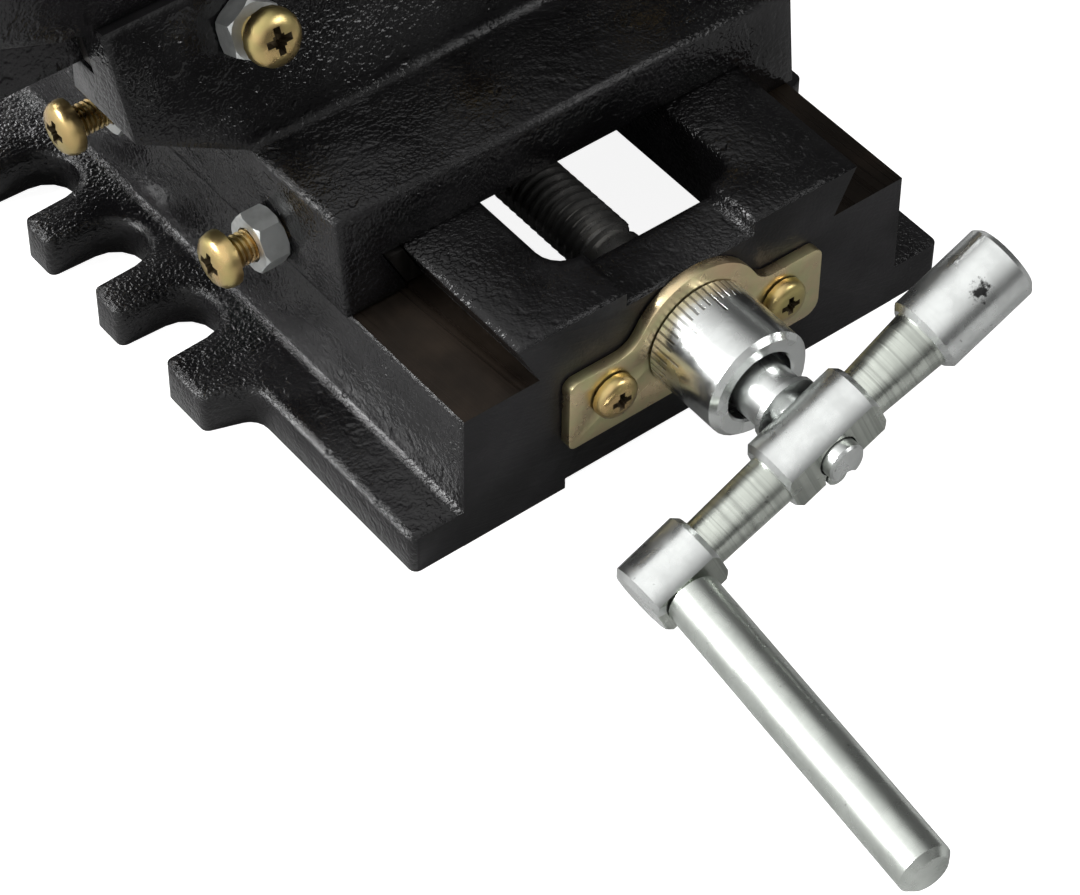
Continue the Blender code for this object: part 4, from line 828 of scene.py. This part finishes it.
class VISE_OT_castings(bpy.types.Operator):
    """Dress the four castings: rounded edges, pebbled paint and milled ways"""

    bl_idname = "vise.castings"
    bl_label = "Castings"

    def execute(self, context):
        settings = settings_of(context)
        finishes = [black_paint(settings), machined_way(settings), front_paint(settings)]
        for node in CASTINGS:
            bm = mesh_of(node)
            soften_edges(bm, settings.edge_radius)
            zone = base_zone if node == "base" else upper_zone
            for face in bm.faces:
                face.material_index = zone(face.calc_center_median(), face.normal)
            place_piece(bm, node, finishes, 50.0)
        return {"FINISHED"}


class VISE_OT_screws(bpy.types.Operator):
    """Cut the threads of the two feed screws and of the jaw screw"""

    bl_idname = "vise.screws"
    bl_label = "Feed and jaw screws"

    def execute(self, context):
        settings = settings_of(context)
        oxide = dark_steel(settings)
        for node, inward, hand in (
            ("y_screw", Vector((0, 1, 0)), -1),
            ("x_screw", Vector((1, 0, 0)), 1),
        ):
            shaft = zinc(settings, f"{node} shaft plate", inward)
            start = Vector(JOINTS[f"{node}_turn"]["pos_m"])
            end = (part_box(node)[1] - start).dot(inward)
            threaded_copy(
                node,
                start,
                inward,
                FEED_THREAD_START,
                end - MM,
                FEED_THREAD_RADIUS,
                FEED_CORE_RADIUS,
                settings.thread_pitch,
                hand,
                [oxide, shaft],
                lambda along: along < 0,
            )
        start = Vector(JOINTS["jaw_screw_turn"]["pos_m"])
        outward = Vector((1, 0, 0))
        shaft = zinc(settings, "jaw screw shaft plate", outward)
        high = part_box("jaw_crank")[0].x - start.x - JAW_PLAIN_SHANK
        threaded_copy(
            "jaw_screw",
            start,
            outward,
            JAW_THREAD_START,
            high,
            JAW_THREAD_RADIUS,
            JAW_CORE_RADIUS,
            settings.jaw_pitch,
            1,
            [oxide, shaft],
            lambda along: along > high,
        )
        return {"FINISHED"}


class VISE_OT_cranks(bpy.types.Operator):
    """Plate the cranks, their handles and their keys, and rub a dark scuff on the front knob"""

    bl_idname = "vise.cranks"
    bl_label = "Cranks and handles"

    def execute(self, context):
        settings = settings_of(context)
        for prefix in ("y", "x", "jaw"):
            node = f"{prefix}_crank"
            flat = 0 if prefix == "y" else 1
            pivot = Vector(JOINTS[f"{prefix}_screw_turn"]["pos_m"])
            middle = node_middle(node)
            pivot[1 - flat] = middle[1 - flat]
            handle = node_middle(f"{prefix}_handle") - pivot
            bar = Vector((0, 0, math.sin(CRANK_TURN)))
            bar[flat] = -math.copysign(math.cos(CRANK_TURN), handle[flat])
            scuff = None
            if prefix == "y":
                scuff = pivot + bar * SCUFF_REACH + SCUFF_SIDE * KNOB_RADIUS
            smooth = zinc(settings, f"{prefix} crank plate", bar, 0.003, 1500.0, scuff)
            ringed = zinc(settings, f"{prefix} crank neck", bar, 0.07, 1100.0, bright=NECK_TINT)
            bm = mesh_of(node)
            soften_edges(bm, CRANK_EDGE, 20.0)
            for face in bm.faces:
                far = axis_distance(face.calc_center_median(), pivot, bar)[1]
                turned = abs(face.normal.dot(bar)) < 0.3
                face.material_index = 1 if far < NECK_RADIUS and turned else 0
            place_piece(bm, node, [smooth, ringed], 35.0)
            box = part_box(f"{prefix}_handle")
            run = [box[1][i] - box[0][i] for i in range(3)]
            rod_axis = [0.0, 0.0, 0.0]
            rod_axis[max(range(3), key=lambda i: run[i])] = 1.0
            rod = zinc(
                settings, f"{prefix} handle plate", rod_axis, 0.002, 1100.0, bright=HANDLE_TINT
            )
            smooth_copy(f"{prefix}_handle", rod)
            smooth_copy(f"{prefix}_crank_key", rod)
        return {"FINISHED"}


class VISE_OT_dials(bpy.types.Operator):
    """Engrave the two graduated dials"""

    bl_idname = "vise.dials"
    bl_label = "Dials"

    def execute(self, context):
        settings = settings_of(context)
        for prefix in ("y", "x"):
            joint = JOINTS[f"{prefix}_screw_turn"]
            centre = list(joint["pos_m"])
            along = max(range(3), key=lambda i: abs(joint["axis"][i]))
            centre[along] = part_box(f"{prefix}_dial")[1][along]
            metal = dial_metal(settings, f"{prefix} dial plate", centre, joint["axis"])
            smooth_copy(f"{prefix}_dial", metal)
        return {"FINISHED"}


class VISE_OT_plates(bpy.types.Operator):
    """Plate the three retaining plates yellow"""

    bl_idname = "vise.plates"
    bl_label = "Retaining plates"

    def execute(self, context):
        plating = yellow_zinc(settings_of(context), "yellow passivated plate")
        for prefix in ("y", "x", "jaw"):
            node = f"{prefix}_retaining_plate"
            bm = mesh_of(node)
            soften_edges(bm, PLATE_EDGE)
            place_piece(bm, node, [plating], 40.0)
        return {"FINISHED"}


class VISE_OT_fasteners(bpy.types.Operator):
    """Cut the crosses and threads of the pan heads, and plate the lock nuts"""

    bl_idname = "vise.fasteners"
    bl_label = "Screws and lock nuts"

    def execute(self, context):
        settings = settings_of(context)
        deep = yellow_zinc(settings, "yellow passivated screws", SCREW_TINT)
        # The second material paints shade into the cross recesses.
        yellow = [deep, recess_painted_shade(settings)]
        nut_plate = dull_zinc(settings)
        gib_cross = {
            "head": 3.6 * MM,
            "radius": 3 * MM,
            "width": 1.55 * MM,
            "depth": 2.5 * MM,
            "spread": 3.5 * MM,
        }
        for index in (1, 2, 3):
            node = f"y_gib_screw_{index}"
            low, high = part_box(node)
            top = node_middle(node)
            top.x = low.x
            options = dict(gib_cross, thread=high.x - low.x - GIB_BARE_LENGTH)
            screw_with_cross(node, top, (-1, 0, 0), yellow, options)
            smooth_copy(f"y_gib_locknut_{index}", nut_plate)
        outward = Vector((0, -math.cos(X_GIB_TILT), math.sin(X_GIB_TILT)))
        for index in (1, 2, 3):
            node = f"x_gib_screw_{index}"
            points = [vertex.co.copy() for vertex in NODES[node].data.vertices]
            reach = max(point.dot(outward) for point in points)
            back = min(point.dot(outward) for point in points)
            tip = [point for point in points if point.dot(outward) < back + 0.01 * MM]
            centre = sum(tip, Vector()) / len(tip)
            top = centre + outward * (reach - centre.dot(outward))
            options = dict(gib_cross, thread=reach - back - GIB_BARE_LENGTH)
            screw_with_cross(node, top, outward, yellow, options)
            smooth_copy(f"x_gib_locknut_{index}", nut_plate)
        plate_cross = {
            "head": 2.6 * MM,
            "radius": 2 * MM,
            "width": 1.3 * MM,
            "depth": 1.9 * MM,
            "spread": 2.8 * MM,
            "thread": 0,
        }
        for prefix, direction in (("y", (0, -1, 0)), ("x", (-1, 0, 0)), ("jaw", (1, 0, 0))):
            for word in ("left", "right"):
                node = f"{prefix}_plate_screw_{word}"
                low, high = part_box(node)
                top = node_middle(node)
                for i in range(3):
                    if direction[i]:
                        top[i] = high[i] if direction[i] > 0 else low[i]
                screw_with_cross(node, top, direction, yellow, plate_cross)
        return {"FINISHED"}


class VISE_OT_jaw_plates(bpy.types.Operator):
    """Grind the jaw plates and finish the gibs, nuts and inner screws"""

    bl_idname = "vise.jaw_plates"
    bl_label = "Jaw plates and inner pieces"

    def execute(self, context):
        settings = settings_of(context)
        ground = plain_metal("ground steel", (0.42, 0.43, 0.44), 0.28, (0.0, 0.05, 1.0), 1500.0)
        iron = plain_metal("machined iron", (0.20, 0.20, 0.20), 0.45, (0.0, 1.0, 0.3), 900.0)
        strip = plain_metal("oiled steel strip", (0.09, 0.085, 0.08), 0.4, (1.0, 1.0, 0.0), 1200.0)
        oxide = dark_steel(settings)
        for node in ("fixed_jaw_plate", "moving_jaw_plate", "jaw_keeper"):
            smooth_copy(node, ground)
        for node in ("y_nut", "x_nut"):
            smooth_copy(node, iron)
        for node in ("y_gib", "x_gib"):
            smooth_copy(node, strip)
        for node, slot in SLOT_OF.items():
            if slot == "black_steel" and node not in ("y_screw", "x_screw", "jaw_screw"):
                smooth_copy(node, oxide)
        return {"FINISHED"}


class VISE_OT_studio(bpy.types.Operator):
    """Set up the pale floor, the soft lights and the camera"""

    bl_idname = "vise.studio"
    bl_label = "Studio"

    def execute(self, context):
        settings = settings_of(context)
        make_floor(settings)
        make_lights()
        make_camera()
        context.scene.view_settings.view_transform = "Standard"
        return {"FINISHED"}


FLOOR_GLOW = 0.9
FLOOR_IN_REFLECTIONS = 0.68


def make_floor(settings):
    """A wide pale floor that is near white to the camera and keeps the shadow."""
    bm = bmesh.new()
    bmesh.ops.create_grid(bm, x_segments=1, y_segments=1, size=3)
    mesh = bpy.data.meshes.new("floor")
    bm.to_mesh(mesh)
    bm.free()
    floor = bpy.data.objects.new("floor", mesh)
    bpy.context.scene.collection.objects.link(floor)
    material, graph, shader = new_material("studio floor", 0.6, 0.0, settings.floor_color)[:3]
    shader.inputs["Specular IOR Level"].default_value = 0.0
    path = graph.node("ShaderNodeLightPath")
    dark = [value * FLOOR_IN_REFLECTIONS for value in settings.floor_color]
    color = graph.mix(path.outputs["Is Glossy Ray"], (*settings.floor_color, 1), (*dark, 1))
    graph.feed(shader.inputs["Base Color"], color)
    graph.feed(shader.inputs["Emission Color"], (1.0, 1.0, 1.0, 1.0))
    glow = graph.math("MULTIPLY", path.outputs["Is Camera Ray"], FLOOR_GLOW)
    graph.feed(shader.inputs["Emission Strength"], glow)
    mesh.materials.append(material)


def area_light(name, place, target, size, power):
    """A soft square light aimed at a point."""
    data = bpy.data.lights.new(name, "AREA")
    data.shape = "RECTANGLE"
    data.size = size[0]
    data.size_y = size[1]
    data.energy = power
    lamp = bpy.data.objects.new(name, data)
    bpy.context.scene.collection.objects.link(lamp)
    lamp.location = place
    aim = Vector(target) - Vector(place)
    lamp.rotation_euler = aim.to_track_quat("-Z", "Y").to_euler()


# Name, place, target, size and power.
SOFT_BOXES = (
    ("left soft box", (-0.9, 0.55, 0.6), (0, 0, 0.03), (0.5, 0.4), 25),
    ("right soft box", (0.7, -0.8, 0.8), (0, 0, 0.05), (0.5, 0.4), 5),
    ("back soft box", (-0.2, 1.1, 0.6), (0, 0, 0.06), (0.5, 0.3), 6),
)
BRIGHT_SIDE = (-0.62, -0.05, 0.78)
REFLECTED_SKY = (0.1, 1.3)
SKY_FILL = 0.55


def make_lights():
    """Soft boxes left, right and behind, and a world that reflections see brighter on one side."""
    for soft_box in SOFT_BOXES:
        area_light(*soft_box)
    world = bpy.data.worlds.new("studio")
    bpy.context.scene.world = world
    world.use_nodes = True
    graph = Graph(world.node_tree)
    path = graph.node("ShaderNodeLightPath")
    seen = graph.math("MAXIMUM", path.outputs["Is Camera Ray"], path.outputs["Is Transmission Ray"])
    toward = graph.node("ShaderNodeTexCoord").outputs["Generated"]
    facing = graph.vector("DOT_PRODUCT", toward, BRIGHT_SIDE)
    reflected = graph.remap(facing, 0.15, 0.95, *REFLECTED_SKY)
    lit = graph.math("MULTIPLY", path.outputs["Is Glossy Ray"], reflected)
    fill = graph.remap(path.outputs["Is Glossy Ray"], 0, 1, SKY_FILL, 0.0)
    glossy = graph.math("ADD", lit, fill)
    back = world.node_tree.nodes["Background"]
    graph.feed(back.inputs["Color"], (1.0, 1.0, 1.0, 1.0))
    graph.feed(back.inputs["Strength"], graph.math("MAXIMUM", seen, glossy))


CAMERA_FROM_SCREW = (-0.31333, -0.35419, 0.47802)
CAMERA_AZIMUTH = math.radians(38.448)
CAMERA_ELEVATION = math.radians(47.191)
CAMERA_ROLL = math.radians(0.62)
CAMERA_LENS = 131.0


def make_camera():
    """The photograph's viewing angle."""
    data = bpy.data.cameras.new("photo camera")
    data.sensor_width = 36
    data.lens = CAMERA_LENS
    data.clip_start = 0.05
    data.clip_end = 20
    camera = bpy.data.objects.new("photo camera", data)
    bpy.context.scene.collection.objects.link(camera)
    ahead = Vector(
        (
            math.sin(CAMERA_AZIMUTH) * math.cos(CAMERA_ELEVATION),
            math.cos(CAMERA_AZIMUTH) * math.cos(CAMERA_ELEVATION),
            -math.sin(CAMERA_ELEVATION),
        )
    )
    level = Vector((math.cos(CAMERA_AZIMUTH), -math.sin(CAMERA_AZIMUTH), 0))
    up = level.cross(ahead)
    right = math.cos(CAMERA_ROLL) * level + math.sin(CAMERA_ROLL) * up
    top = -math.sin(CAMERA_ROLL) * level + math.cos(CAMERA_ROLL) * up
    turn = Matrix((right, top, -ahead)).transposed()
    place = Vector(JOINTS["y_screw_turn"]["pos_m"]) + Vector(CAMERA_FROM_SCREW)
    camera.matrix_world = Matrix.Translation(place) @ turn.to_4x4()
    bpy.context.scene.camera = camera


class VISE_PT_panel(bpy.types.Panel):
    """Finishes and pieces of the vise"""

    bl_idname = "VISE_PT_panel"
    bl_label = "Slide vise"
    bl_space_type = "VIEW_3D"
    bl_region_type = "UI"
    bl_category = "Slide vise"

    def draw(self, context):
        """Show the settings, then a button for each step."""
        column = self.layout.column()
        for name in VISE_PG_settings.__annotations__:
            column.prop(settings_of(context), name)
        for step in STEPS:
            column.operator(step.bl_idname)


STEPS = (
    VISE_OT_castings,
    VISE_OT_screws,
    VISE_OT_cranks,
    VISE_OT_dials,
    VISE_OT_plates,
    VISE_OT_fasteners,
    VISE_OT_jaw_plates,
    VISE_OT_studio,
)
CLASSES = (VISE_PG_settings, *STEPS, VISE_PT_panel)


def register():
    """Add the classes and the settings to Blender."""
    for item in CLASSES:
        bpy.utils.register_class(item)
    bpy.types.Scene.vise_settings = PointerProperty(type=VISE_PG_settings)


def unregister():
    """Take them away again."""
    del bpy.types.Scene.vise_settings
    for item in reversed(CLASSES):
        bpy.utils.unregister_class(item)


def main():
    """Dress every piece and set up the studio."""
    register()
    bpy.ops.vise.castings()
    bpy.ops.vise.screws()
    bpy.ops.vise.cranks()
    bpy.ops.vise.dials()
    bpy.ops.vise.plates()
    bpy.ops.vise.fasteners()
    bpy.ops.vise.jaw_plates()
    bpy.ops.vise.studio()


if __name__ == "__main__":
    main()
